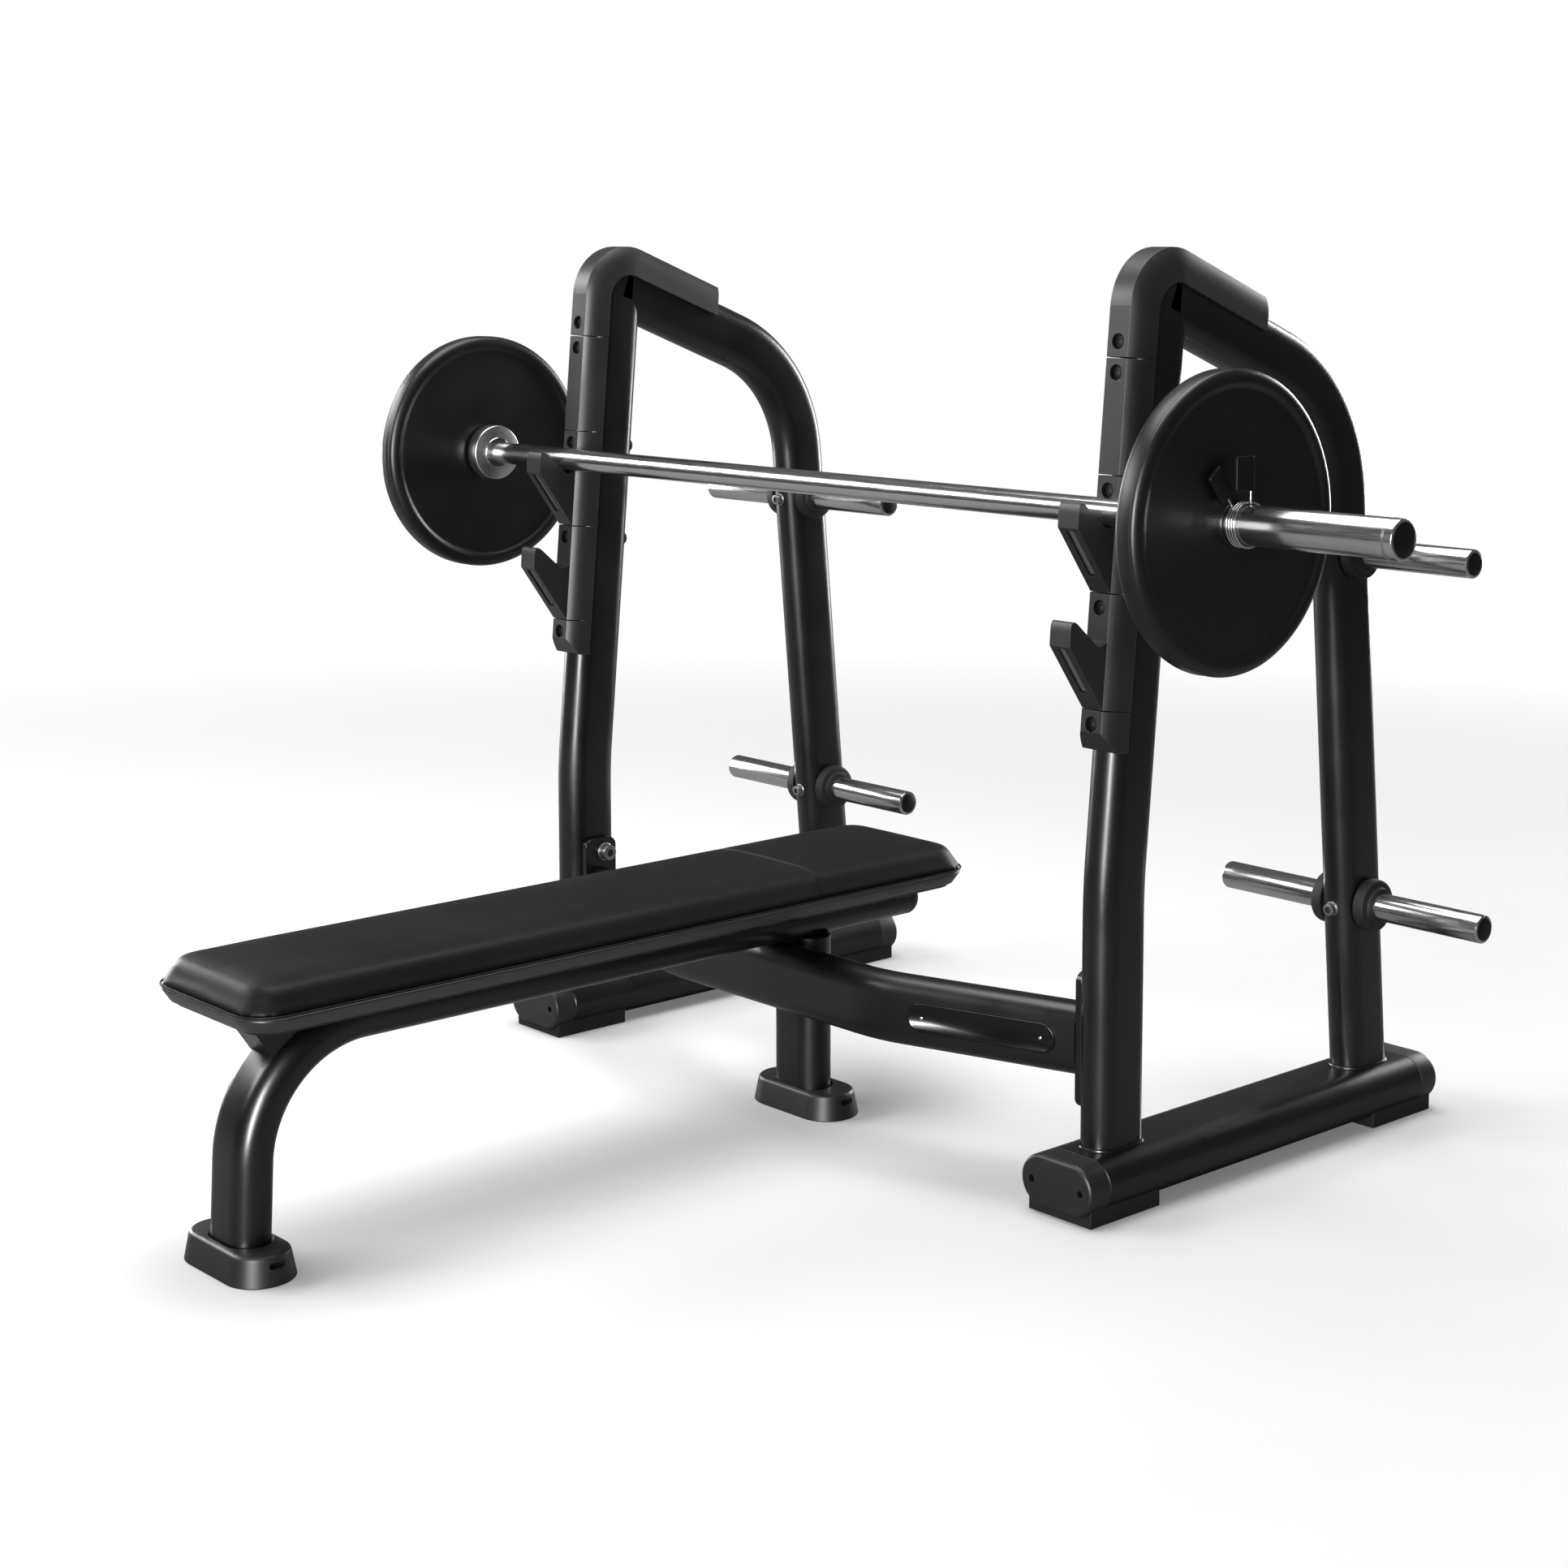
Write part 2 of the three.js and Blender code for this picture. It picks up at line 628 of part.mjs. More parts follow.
// A blank plate on the front of the crossmember's right run.
function badge() {
  const slope = Math.atan2(UPRIGHT_Y - CROSS_FRONT_Y, CROSS_END_X - CROSS_MIDDLE_X);
  const plate = alongY(oval(BADGE_LONG, BADGE_TALL), -BADGE_THICK, 0);
  plate.translate(0, -TUBE_RADIUS - GAP, 0).rotateZ(slope);
  const y = CROSS_FRONT_Y + (BADGE_X - CROSS_MIDDLE_X) * Math.tan(slope);
  return plate.translate(BADGE_X, y, CROSS_Z);
}

// ---- Bench ----
function spineLine() {
  const corners = [
    new THREE.Vector3(0, BEAM_HEAD_Y, BEAM_Z),
    new THREE.Vector3(0, LEG_CORNER_Y, BEAM_Z),
    new THREE.Vector3(0, LEG_FOOT_Y, 0),
  ];
  return new BentLine(corners, LEG_BEND_RADIUS);
}

function spine(clearance = 0) {
  return bentTube(spineLine(), TUBE_WIDE + 2 * clearance, TUBE_NARROW + 2 * clearance, AXIS_X);
}

function benchBeam() {
  return cut(spine(), new THREE.BoxGeometry(300, 300, 100).translate(0, LEG_FOOT_Y, -50));
}

function rearPost() {
  const top = BEAM_Z - TUBE_NARROW / 2 - GAP;
  return alongZ(oval(TUBE_WIDE, TUBE_NARROW), 0, top).translate(0, POST_Y, 0);
}

// A floor shoe with an oval hole for the leg that stands in it.
function footCover(y, leg) {
  const outline = (bevel) => oval(FOOT_COVER_WIDE - 2 * bevel, FOOT_COVER_DEEP - 2 * bevel);
  const body = bevelledTop(outline, FOOT_COVER_TALL, FOOT_TAPER, FOOT_COVER_TALL - 4);
  return cut(body.translate(0, y, 0), leg);
}

function frontFootCover() {
  const leg = bentTube(
    new BentLine([new THREE.Vector3(0, LEG_CORNER_Y, BEAM_Z), legPoint(0.5), legPoint(1.2)], 10),
    TUBE_WIDE + 1,
    TUBE_NARROW + 1,
    AXIS_X,
  );
  return footCover(LEG_FOOT_Y, leg);
}

// A point down the leg's axis: 0 at the beam's height, 1 on the floor.
function legPoint(share) {
  const y = LEG_CORNER_Y + share * (LEG_FOOT_Y - LEG_CORNER_Y);
  return new THREE.Vector3(0, y, BEAM_Z * (1 - share));
}

function rearFootCover() {
  const post = alongZ(oval(TUBE_WIDE + 1, TUBE_NARROW + 1), -10, 60).translate(0, POST_Y, 0);
  return footCover(POST_Y + 5, post);
}

// A folded gusset between the bend of the leg and the front of the pad's board.
function frontBracket() {
  const top = PAD_LEDGE_Z - TRIM_TALL - 5 - GAP;
  const outline = polygon([-784, top], [-745, 262], [-700, 262], [-640, 290], [-640, top]);
  const half = BRACKET_WIDE / 2;
  return cut(alongX(outline, -half, half), spine(GAP));
}

function padOutline(inset) {
  return roundedBox(PAD_WIDE - 2 * inset, PAD_HEAD_Y - PAD_FOOT_Y - 2 * inset, PAD_CORNER - inset);
}

const PAD_MIDDLE_Y = (PAD_HEAD_Y + PAD_FOOT_Y) / 2;

// Sloping sides below and a rounded top edge above.
function benchPad() {
  const rise = PAD_TOP_Z - PAD_LEDGE_Z - PAD_SHOULDER;
  const sides = bevelledTop(padOutline, PAD_SHOULDER, PAD_SLOPE, PAD_SHOULDER - 1);
  const topOutline = (inset) => padOutline(PAD_SLOPE + inset);
  const top = bevelledTop(topOutline, rise, PAD_ROUNDING, rise - 0.5, 3);
  return join(sides, top.translate(0, 0, PAD_SHOULDER)).translate(0, PAD_MIDDLE_Y, PAD_LEDGE_Z);
}

// A tapered rim round the board: narrow below, as wide as the pad above.
function padTrim() {
  const flipped = bevelledTop(padOutline, TRIM_TALL - GAP, TRIM_TAPER, TRIM_TALL - 2, 1).rotateX(Math.PI);
  const opening = alongZ(padOutline(BOARD_INSET - GAP), -100, 100);
  return cut(flipped, opening).translate(0, PAD_MIDDLE_Y, PAD_LEDGE_Z - GAP);
}

function padBoard() {
  const bottom = PAD_LEDGE_Z - TRIM_TALL - 5;
  return alongZ(padOutline(BOARD_INSET), bottom, PAD_LEDGE_Z - GAP).translate(0, PAD_MIDDLE_Y, 0);
}

function bench() {
  const group = new THREE.Group();
  add(group, "crossmember", crossmember(), "frame");
  add(group, "badge", badge(), "badge");
  add(group, "bench_beam", benchBeam(), "frame");
  add(group, "rear_post", rearPost(), "frame");
  add(group, "foot_cover_front", frontFootCover(), "plastic");
  add(group, "foot_cover_rear", rearFootCover(), "plastic");
  add(group, "front_bracket", frontBracket(), "frame");
  add(group, "pad_board", padBoard(), "board");
  add(group, "pad_trim", padTrim(), "trim");
  add(group, "bench_pad", benchPad(), "vinyl");
  return group;
}

// ---- Barbell, about the X axis ----
const SHAFT_SHOULDER = COLLAR_X - GAP;
const SHAFT_END = SLEEVE_END_X - 14;
const SLEEVE_BORE = SHAFT_CORE_RADIUS + GAP;
const PLATE_X = COLLAR_X + COLLAR_THICK + GAP;
const PLATE_BORE = SLEEVE_RADIUS + 0.4;
const CLIP_X = PLATE_X + PLATE_THICK + 2 * GAP;

function barShaft() {
  const half = [
    [SHAFT_SHOULDER, SHAFT_RADIUS],
    [SHAFT_SHOULDER, SHAFT_CORE_RADIUS],
    [SHAFT_END, SHAFT_CORE_RADIUS],
    [SHAFT_END, 0],
  ];
  const mirrored = half.map(([x, radius]) => [-x, radius]).reverse();
  return turned([...mirrored, ...half], 24);
}

// Collar and sleeve in one, with a blind bore for the shaft.
function sleeve() {
  const edge = 1.5;
  const profile = [
    [SHAFT_END + 2, 0],
    [SHAFT_END + 2, SLEEVE_BORE],
    [COLLAR_X, SLEEVE_BORE],
    [COLLAR_X, COLLAR_RADIUS - edge],
    [COLLAR_X + edge, COLLAR_RADIUS],
    [COLLAR_X + COLLAR_THICK - edge, COLLAR_RADIUS],
    [COLLAR_X + COLLAR_THICK, COLLAR_RADIUS - edge],
    [COLLAR_X + COLLAR_THICK, SLEEVE_RADIUS],
    [SLEEVE_END_X - edge, SLEEVE_RADIUS],
    [SLEEVE_END_X, SLEEVE_RADIUS - edge],
    [SLEEVE_END_X, 0],
  ];
  return turned(profile, 24);
}

// A rubber disc with a rounded rim, a raised bead and a recessed face on both sides.
function plate() {
  const face = [
    [PLATE_THICK - PLATE_RECESS, PLATE_RADIUS - 24],
    [PLATE_THICK - 1, PLATE_RADIUS - 18],
    [PLATE_THICK, PLATE_RADIUS - 13],
    [PLATE_THICK, PLATE_RADIUS - 5],
    [PLATE_THICK - 5, PLATE_RADIUS],
  ];
  const back = face.map(([x, radius]) => [PLATE_THICK - x, radius]);
  const profile = [
    [PLATE_RECESS, PLATE_BORE],
    ...back,
    ...face.reverse(),
    [PLATE_THICK - PLATE_RECESS, PLATE_BORE],
  ];
  return turned(profile, 32, true).translate(PLATE_X, 0, 0);
}

// ---- Spring clip: a coil with one grip fixed to it and one on a lever ----
// A point about the bar's axis; angle 0 is straight up, and it grows forwards.
function aboutBar(x, radius, angle) {
  return new THREE.Vector3(x, -radius * Math.sin(angle), radius * Math.cos(angle));
}

const COIL_X = CLIP_X + WIRE_RADIUS;
const COIL_END_X = COIL_X + (CLIP_PITCH * CLIP_TURN) / (2 * Math.PI);
const FIXED_ANGLE = CLIP_START + CLIP_TURN;

function coilLine() {
  const turnPoints = 50;
  const points = [];
  for (let i = 0; i < turnPoints; i++) {
    const share = i / turnPoints;
    const x = COIL_X + share * (COIL_END_X - COIL_X);
    points.push(aboutBar(x, CLIP_RADIUS, CLIP_START + share * CLIP_TURN));
  }
  for (const radius of [CLIP_RADIUS + 3.5, GRIP_INNER - 6, GRIP_INNER + 20]) {
    points.push(aboutBar(COIL_END_X, radius, FIXED_ANGLE));
  }
  return new THREE.CatmullRomCurve3(points);
}

function clipCoil() {
  const wire = new THREE.Shape().absarc(0, 0, WIRE_RADIUS, 0, 2 * Math.PI);
  const options = { extrudePath: coilLine(), steps: 64, curveSegments: 3 };
  return new THREE.ExtrudeGeometry(wire, options);
}

// A tab that stands up from the bar's axis in the plane square to the bar.
function gripTab(x, width, forward) {
  const tab = alongX(roundedBox(width, GRIP_TALL, 4), x - GRIP_THICK / 2, x + GRIP_THICK / 2);
  return tab.translate(0, -forward, GRIP_INNER + GRIP_TALL / 2);
}

function fixedGrip() {
  const bore = new THREE.CylinderGeometry(WIRE_RADIUS + GAP, WIRE_RADIUS + GAP, 28, 12);
  bore.rotateX(Math.PI / 2).translate(COIL_END_X, 0, GRIP_INNER + 8);
  return cut(gripTab(COIL_END_X, FIXED_GRIP_WIDE, FIXED_GRIP_FORWARD), bore).rotateX(FIXED_ANGLE);
}

function clipLever() {
  const start = CLIP_RADIUS + WIRE_RADIUS + 2 * GAP;
  const length = GRIP_INNER + 10 - start;
  const wire = new THREE.CylinderGeometry(WIRE_RADIUS, WIRE_RADIUS, length, 8);
  wire.rotateX(Math.PI / 2).translate(COIL_X + 1, 0, start + length / 2);
  return join(gripTab(COIL_X + 1, LEVER_GRIP_WIDE, 0), wire).rotateX(CLIP_START);
}

function barbellEnd(side, sign) {
  const end = new THREE.Group();
  end.scale.x = sign;
  add(end, `bar_sleeve_${side}`, sleeve(), "chrome");
  add(end, `weight_plate_${side}`, plate(), "plate");
  add(end, `clip_coil_${side}`, clipCoil(), "chrome");
  add(end, `clip_fixed_grip_${side}`, fixedGrip(), "grip");
  add(end, `clip_lever_${side}`, clipLever(), "grip");
  return end;
}

function barbell() {
  const group = new THREE.Group();
  group.position.set(0, BAR_Y, BAR_Z);
  add(group, "bar_shaft", barShaft(), "chrome");
  group.add(barbellEnd("left", -1), barbellEnd("right", 1));
  return group;
}

const benchPress = new THREE.Group();
benchPress.add(sideFrame("left", -1), sideFrame("right", 1), bench(), barbell());

export default benchPress;
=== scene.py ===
import json
import math
import random

import bmesh
import bpy
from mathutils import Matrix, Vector, noise
from mathutils.bvhtree import BVHTree

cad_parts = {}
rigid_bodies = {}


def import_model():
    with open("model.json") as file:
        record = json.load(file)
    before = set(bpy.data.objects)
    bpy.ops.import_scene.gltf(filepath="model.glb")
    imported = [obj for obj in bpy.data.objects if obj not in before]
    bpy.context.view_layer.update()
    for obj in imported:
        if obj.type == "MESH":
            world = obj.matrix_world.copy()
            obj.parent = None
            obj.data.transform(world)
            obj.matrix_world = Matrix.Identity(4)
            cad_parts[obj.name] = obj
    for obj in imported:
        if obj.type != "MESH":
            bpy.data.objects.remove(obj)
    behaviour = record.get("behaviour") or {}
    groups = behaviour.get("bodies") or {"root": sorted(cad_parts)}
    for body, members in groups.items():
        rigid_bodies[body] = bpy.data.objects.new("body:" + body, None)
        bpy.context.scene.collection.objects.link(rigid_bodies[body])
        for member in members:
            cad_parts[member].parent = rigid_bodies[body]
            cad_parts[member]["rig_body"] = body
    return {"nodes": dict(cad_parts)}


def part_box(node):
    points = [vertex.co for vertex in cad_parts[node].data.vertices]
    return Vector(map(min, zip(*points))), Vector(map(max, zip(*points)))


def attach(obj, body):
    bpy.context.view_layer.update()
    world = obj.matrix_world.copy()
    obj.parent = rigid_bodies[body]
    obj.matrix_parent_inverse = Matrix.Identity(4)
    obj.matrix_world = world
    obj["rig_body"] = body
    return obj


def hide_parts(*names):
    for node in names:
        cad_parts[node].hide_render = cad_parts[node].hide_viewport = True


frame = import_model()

random.seed(7)
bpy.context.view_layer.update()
NODES = frame["nodes"]
SIDES = (("left", -1), ("right", 1))
X, Y, Z = Vector((1, 0, 0)), Vector((0, 1, 0)), Vector((0, 0, 1))
for extra in [o for o in bpy.data.objects if o.name in ("Cube", "Light", "Camera")]:
    bpy.data.objects.remove(extra)


# ---- Sizes that the boxes don't give, in metres and degrees ----
LEAN = math.radians(5.07)
ARCH_PITCH = math.radians(21.1)
UPRIGHT_BEND_Z = 0.425
ARCH_CORNER_Z = 1.0535
COVER_REACH = 0.067
COVER_PITCH = 0.1514
FIRST_JOINT = 0.238
SCREW_INSET = 0.020
TUBE = (0.057, 0.092)


# ---- Materials ----
class Nodes:
    """A material's node tree with the usual pieces at hand."""

    def __init__(self, name):
        self.material = bpy.data.materials.new(name)
        self.material.use_nodes = True
        self.tree = self.material.node_tree
        self.shader = self.tree.nodes["Principled BSDF"]
        self.place = self.add("ShaderNodeTexCoord").outputs["Object"]

    def add(self, kind, **sockets):
        node = self.tree.nodes.new(kind)
        for name, value in sockets.items():
            self.put(value, node.inputs[name])
        return node

    def put(self, value, socket):
        if isinstance(value, bpy.types.NodeSocket):
            self.tree.links.new(value, socket)
        else:
            socket.default_value = value

    def noise(self, scale, detail=3.0, stretch=None):
        place = self.place
        if stretch:
            place = self.add("ShaderNodeMapping", Vector=place, Scale=stretch).outputs["Vector"]
        node = self.add("ShaderNodeTexNoise", Vector=place, Scale=scale, Detail=detail)
        return node.outputs["Fac"]

    def cells(self, scale):
        node = self.add("ShaderNodeTexVoronoi", Vector=self.place, Scale=scale)
        return node.outputs["Distance"]

    def spread(self, value, low, high, start=0.3, end=0.7):
        node = self.add("ShaderNodeMapRange", Value=value)
        limits = (("From Min", start), ("From Max", end), ("To Min", low), ("To Max", high))
        for name, number in limits:
            node.inputs[name].default_value = number
        return node.outputs["Result"]

    def mix(self, factor, first, second):
        node = self.tree.nodes.new("ShaderNodeMix")
        node.data_type = "RGBA"
        self.put(factor, node.inputs["Factor"])
        self.put(first, node.inputs["A"])
        self.put(second, node.inputs["B"])
        return node.outputs["Result"]

    def edges(self):
        """1 on a sharp edge and 0 on a flat or gently curved face: the mask of the painted edge highlight.
        """
        rounded_normal = self.add("ShaderNodeBevel", Radius=0.0013)
        rounded_normal.samples = 3
        dot = self.tree.nodes.new("ShaderNodeVectorMath")
        dot.operation = "DOT_PRODUCT"
        self.put(rounded_normal.outputs["Normal"], dot.inputs[0])
        self.put(self.add("ShaderNodeNewGeometry").outputs["Normal"], dot.inputs[1])
        return self.spread(dot.outputs["Value"], 1, 0, 0.78, 0.97)

    def bump(self, *layers):
        normal = None
        for height, strength, distance in layers:
            node = self.add("ShaderNodeBump", Height=height, Strength=strength, Distance=distance)
            if normal:
                self.put(normal, node.inputs["Normal"])
            normal = node.outputs["Normal"]
        self.put(normal, self.shader.inputs["Normal"])


def grey(level):
    return (level, level, level * 1.01, 1)


def coating(name, level, edge, rough, grain, grain_depth, metallic=0.0, specular=0.5, coat=0.0):
    """Paint, plastic or rubber: fine grain, slow change of gloss and lighter edges, a painted highlight.
    """
    n = Nodes(name)
    n.shader.inputs["Metallic"].default_value = metallic
    n.shader.inputs["Specular IOR Level"].default_value = specular
    n.shader.inputs["Coat Weight"].default_value = coat
    n.shader.inputs["Coat Roughness"].default_value = 0.12
    fine = n.noise(grain, 2)
    slow = n.noise(9, 3)
    colour = n.mix(n.spread(fine, 0, 1), grey(level * 0.8), grey(level * 1.25))
    # Painted highlight: sharp edges take the lighter edge colour in place of the light they catch.
    n.put(n.mix(n.edges(), colour, grey(edge)), n.shader.inputs["Base Color"])
    n.put(n.spread(slow, rough - 0.05, rough + 0.06), n.shader.inputs["Roughness"])
    n.bump((fine, 0.5, grain_depth), (n.noise(grain / 5, 2), 0.25, grain_depth * 2))
    return n.material


def bright_metal(name, level, rough, stretch, streaks=900):
    n = Nodes(name)
    n.shader.inputs["Metallic"].default_value = 1.0
    lines = n.noise(streaks, 2, stretch)
    colour = n.mix(n.spread(n.noise(14), 0, 1), grey(level * 0.9), grey(level))
    n.put(colour, n.shader.inputs["Base Color"])
    n.put(n.spread(lines, rough - 0.04, rough + 0.07), n.shader.inputs["Roughness"])
    n.bump((lines, 0.12, 0.00004), (n.noise(40, 2), 0.05, 0.0004))
    return n.material


def vinyl():
    """Grained upholstery with creased cells, a slight change of gloss and a painted highlight on sharp
    edges.
    """
    n = Nodes("pad_vinyl")
    n.shader.inputs["Specular IOR Level"].default_value = 0.13
    cells = n.cells(520)
    colour = n.mix(n.spread(cells, 0, 1, 0.0, 0.6), grey(0.0035), grey(0.007))
    # Painted highlight: the vinyl's sharp edges take a lighter grey.
    n.put(n.mix(n.edges(), colour, grey(0.02)), n.shader.inputs["Base Color"])
    n.put(n.spread(n.noise(7), 0.42, 0.54), n.shader.inputs["Roughness"])
    n.bump((cells, 0.35, 0.00035), (n.noise(2400, 2), 0.2, 0.0001), (n.noise(6), 0.1, 0.004))
    return n.material


def brushed_disc(name, level, centre):
    """Metal turned on a lathe: fine rings about the bar."""
    n = Nodes(name)
    n.shader.inputs["Metallic"].default_value = 1.0
    shifted = n.add("ShaderNodeMapping", Vector=n.place, Location=(0, -centre[0], -centre[1]))
    flat = n.add("ShaderNodeVectorMath", **{"Vector": shifted.outputs["Vector"]})
    flat.operation = "MULTIPLY"
    flat.inputs[1].default_value = (0, 1, 1)
    length = n.add("ShaderNodeVectorMath", Vector=flat.outputs["Vector"])
    length.operation = "LENGTH"
    rings = n.add("ShaderNodeTexNoise", Scale=1500.0, Detail=2.0)
    rings.noise_dimensions = "1D"
    n.put(length.outputs["Value"], rings.inputs["W"])
    tone = n.mix(rings.outputs["Fac"], grey(level * 0.8), grey(level))
    n.put(tone, n.shader.inputs["Base Color"])
    n.put(n.spread(rings.outputs["Fac"], 0.22, 0.38), n.shader.inputs["Roughness"])
    n.bump((rings.outputs["Fac"], 0.3, 0.00006))
    return n.material


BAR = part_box("bar_shaft")
BAR_Y, BAR_Z = (BAR[0].y + BAR[1].y) / 2, (BAR[0].z + BAR[1].z) / 2
ALONG_BAR = (0.03, 1, 1)
# Each coating's second number is its edge colour, a painted highlight on sharp edges.
FINISHES = {
    "frame_paint": coating("frame_paint", 0.004, 0.02, 0.31, 1700, 0.0001, 0.0, 0.5, 0.05),
    "cover_plastic": coating("cover_plastic", 0.017, 0.09, 0.42, 1500, 0.00012, 0, 0.45),
    "black_rubber": coating("black_rubber", 0.008, 0.02, 0.66, 900, 0.0002, 0, 0.35),
    "plate_rubber": coating("plate_rubber", 0.005, 0.03, 0.36, 1100, 0.00015, 0, 0.42),
    "pad_vinyl": vinyl(),
    "pad_trim": coating("pad_trim", 0.036, 0.09, 0.38, 1500, 0.00006, 0, 0.5),
    "pad_board": coating("pad_board", 0.006, 0.02, 0.24, 1500, 0.00003, 0, 0.5),
    "chrome": bright_metal("chrome", 0.58, 0.17, ALONG_BAR),
    "badge": coating("badge", 0.0025, 0.05, 0.24, 1500, 0.00002, 0, 0.4),
    "grip_plastic": coating("grip_plastic", 0.003, 0.015, 0.5, 1500, 0.0001, 0, 0.25),
    "zinc": bright_metal("zinc", 0.32, 0.36, (1, 1, 1), 400),
    "insert": coating("insert", 0.12, 0.2, 0.45, 1500, 0.00006),
    "recess": coating("recess", 0.004, 0.006, 0.6, 1500, 0.0001),
    "turned": brushed_disc("turned", 0.6, (BAR_Y, BAR_Z)),
}


# ---- Outlines and solids ----
def oval(wide, tall, steps=20):
    """Flat sides and two half-round ends, along whichever size is the longer."""
    radius = min(wide, tall) / 2
    du, dv = wide / 2 - radius, tall / 2 - radius
    turn = -math.pi / 2 if du > dv else 0
    points = []
    for half in (0, 1):
        sign = 1 - 2 * half
        for i in range(steps + 1):
            a = turn + math.pi * (half + i / steps)
            points.append((du * sign + radius * math.cos(a), dv * sign + radius * math.sin(a)))
    return points


def rounded(wide, tall, corner, steps=12):
    points = []
    for quarter in range(4):
        cu = (wide / 2 - corner) * (1 if quarter in (0, 3) else -1)
        cv = (tall / 2 - corner) * (1 if quarter in (0, 1) else -1)
        for i in range(steps + 1):
            a = math.pi / 2 * (quarter + i / steps)
            points.append((cu + corner * math.cos(a), cv + corner * math.sin(a)))
    return points


def circle(radius, steps=48):
    return [(radius * math.cos(2 * math.pi * i / steps), radius * math.sin(2 * math.pi * i / steps))
            for i in range(steps)]


def place_ring(outline, centre, u, v):
    return [centre + u * a + v * b for a, b in outline]


def loft(rings, closed=False):
    """A skin over rings of equal length, with flat ends unless it closes on itself."""
    n, m = len(rings[0]), len(rings)
    verts = [p for ring in rings for p in ring]
    faces = []
    for i in range(m if closed else m - 1):
        for j in range(n):
            k, following = (j + 1) % n, (i + 1) % m
            faces.append((i * n + j, i * n + k, following * n + k, following * n + j))
    if not closed:
        faces += [tuple(reversed(range(n))), tuple(range((m - 1) * n, m * n))]
    return verts, faces


def basis(axis):
    """Two directions square to an axis."""
    u = axis.cross(Z if abs(axis.z) < 0.9 else Y).normalized()
    return u, axis.cross(u).normalized()


def lathe(profile, centre, axis=X, steps=96, closed=False):
    """A solid turned about an axis through centre, from (distance along it, radius) pairs."""
    u, v = basis(axis)
    return loft([place_ring(circle(r, steps), centre + axis * t, u, v) for t, r in profile], closed)


def bend(corners, radius, step=math.radians(2.5)):
    """Stations (point, tangent) along straight runs joined by round bends."""
    stations = [(corners[0], (corners[1] - corners[0]).normalized())]
    for before, corner, after in zip(corners, corners[1:], corners[2:]):
        arriving, leaving = (corner - before).normalized(), (after - corner).normalized()
        turn = arriving.angle(leaving)
        start = corner - arriving * (radius * math.tan(turn / 2))
        inward = (leaving - arriving * arriving.dot(leaving)).normalized()
        steps = max(3, math.ceil(turn / step))
        for i in range(steps + 1):
            a = turn * i / steps
            point = (start + arriving * (radius * math.sin(a))
                     + inward * (radius * (1 - math.cos(a))))
            stations.append((point, arriving * math.cos(a) + inward * math.sin(a)))
    stations.append((corners[-1], (corners[-1] - corners[-2]).normalized()))
    return stations


def sweep(stations, outline, across, flat_start=None, flat_end=None):
    """A tube along stations. An end can be cut flat: (axis number, value)."""
    rings = []
    for point, tangent in stations:
        rings.append(place_ring(outline, point, across, across.cross(tangent).normalized()))
    for i, cut in ((0, flat_start), (-1, flat_end)):
        if cut:
            number, value = cut
            tangent = stations[i][1]
            rings[i] = [p + tangent * ((value - p[number]) / tangent[number]) for p in rings[i]]
    return loft(rings)


def wire(points, radius, steps=10, closed=False):
    """A round wire through points."""
    rings, across = [], None
    count = len(points)
    for i, point in enumerate(points):
        after = points[(i + 1) % count] if closed or i < count - 1 else point
        before = points[i - 1] if closed or i else point
        tangent = (after - before).normalized()
        if across is None:
            across = basis(tangent)[0]
        else:
            across = (across - tangent * across.dot(tangent)).normalized()
        rings.append(place_ring(circle(radius, steps), point, across, tangent.cross(across)))
    return loft(rings, closed)


# ---- Pieces ----
def outward(mesh):
    bm = bmesh.new()
    bm.from_mesh(mesh)
    bmesh.ops.recalc_face_normals(bm, faces=bm.faces)
    bm.to_mesh(mesh)
    bm.free()


def piece(name, solid, finish, body="frame", replaced=(), bevel=0, smooth=38):
    """Adds a piece made of vertices and faces, and lets it ride on its body."""
    mesh = bpy.data.meshes.new(name)
    mesh.from_pydata([tuple(p) for p in solid[0]], [], solid[1])
    outward(mesh)
    return dress(name, mesh, finish, body, replaced, bevel, smooth)


def dress(name, mesh, finish, body, replaced, bevel, smooth=38):
    obj = bpy.data.objects.new(name, mesh)
    bpy.context.scene.collection.objects.link(obj)
    mesh.materials.clear()
    mesh.materials.append(FINISHES[finish])
    mesh.shade_smooth()
    mesh.set_sharp_from_angle(angle=math.radians(smooth))
    if bevel:
        edge = obj.modifiers.new("edge", "BEVEL")
        edge.width, edge.segments, edge.limit_method = bevel, 3, "ANGLE"
        edge.angle_limit, edge.harden_normals = math.radians(smooth), True
        edge.use_clamp_overlap = True
        even = obj.modifiers.new("even_normals", "WEIGHTED_NORMAL")
        even.keep_sharp = True
    if replaced:
        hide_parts(*replaced)
    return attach(obj, body)


def copied(node, finish, bevel=0.0008, cutters=(), smooth=32):
    """The CAD node's shape with flat facets merged, cut where asked and its edges broken."""
    bm = bmesh.new()
    bm.from_mesh(NODES[node].data)
    bmesh.ops.remove_doubles(bm, verts=bm.verts, dist=2e-5)
    bmesh.ops.dissolve_limit(bm, angle_limit=math.radians(0.6), verts=bm.verts, edges=bm.edges)
    mesh = bpy.data.meshes.new(node + "_shape")
    bm.to_mesh(mesh)
    bm.free()
    for cutter in cutters:
        mesh = carve(mesh, cutter)
    return dress(node + "_piece", mesh, finish, NODES[node]["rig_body"], [node], bevel, smooth)


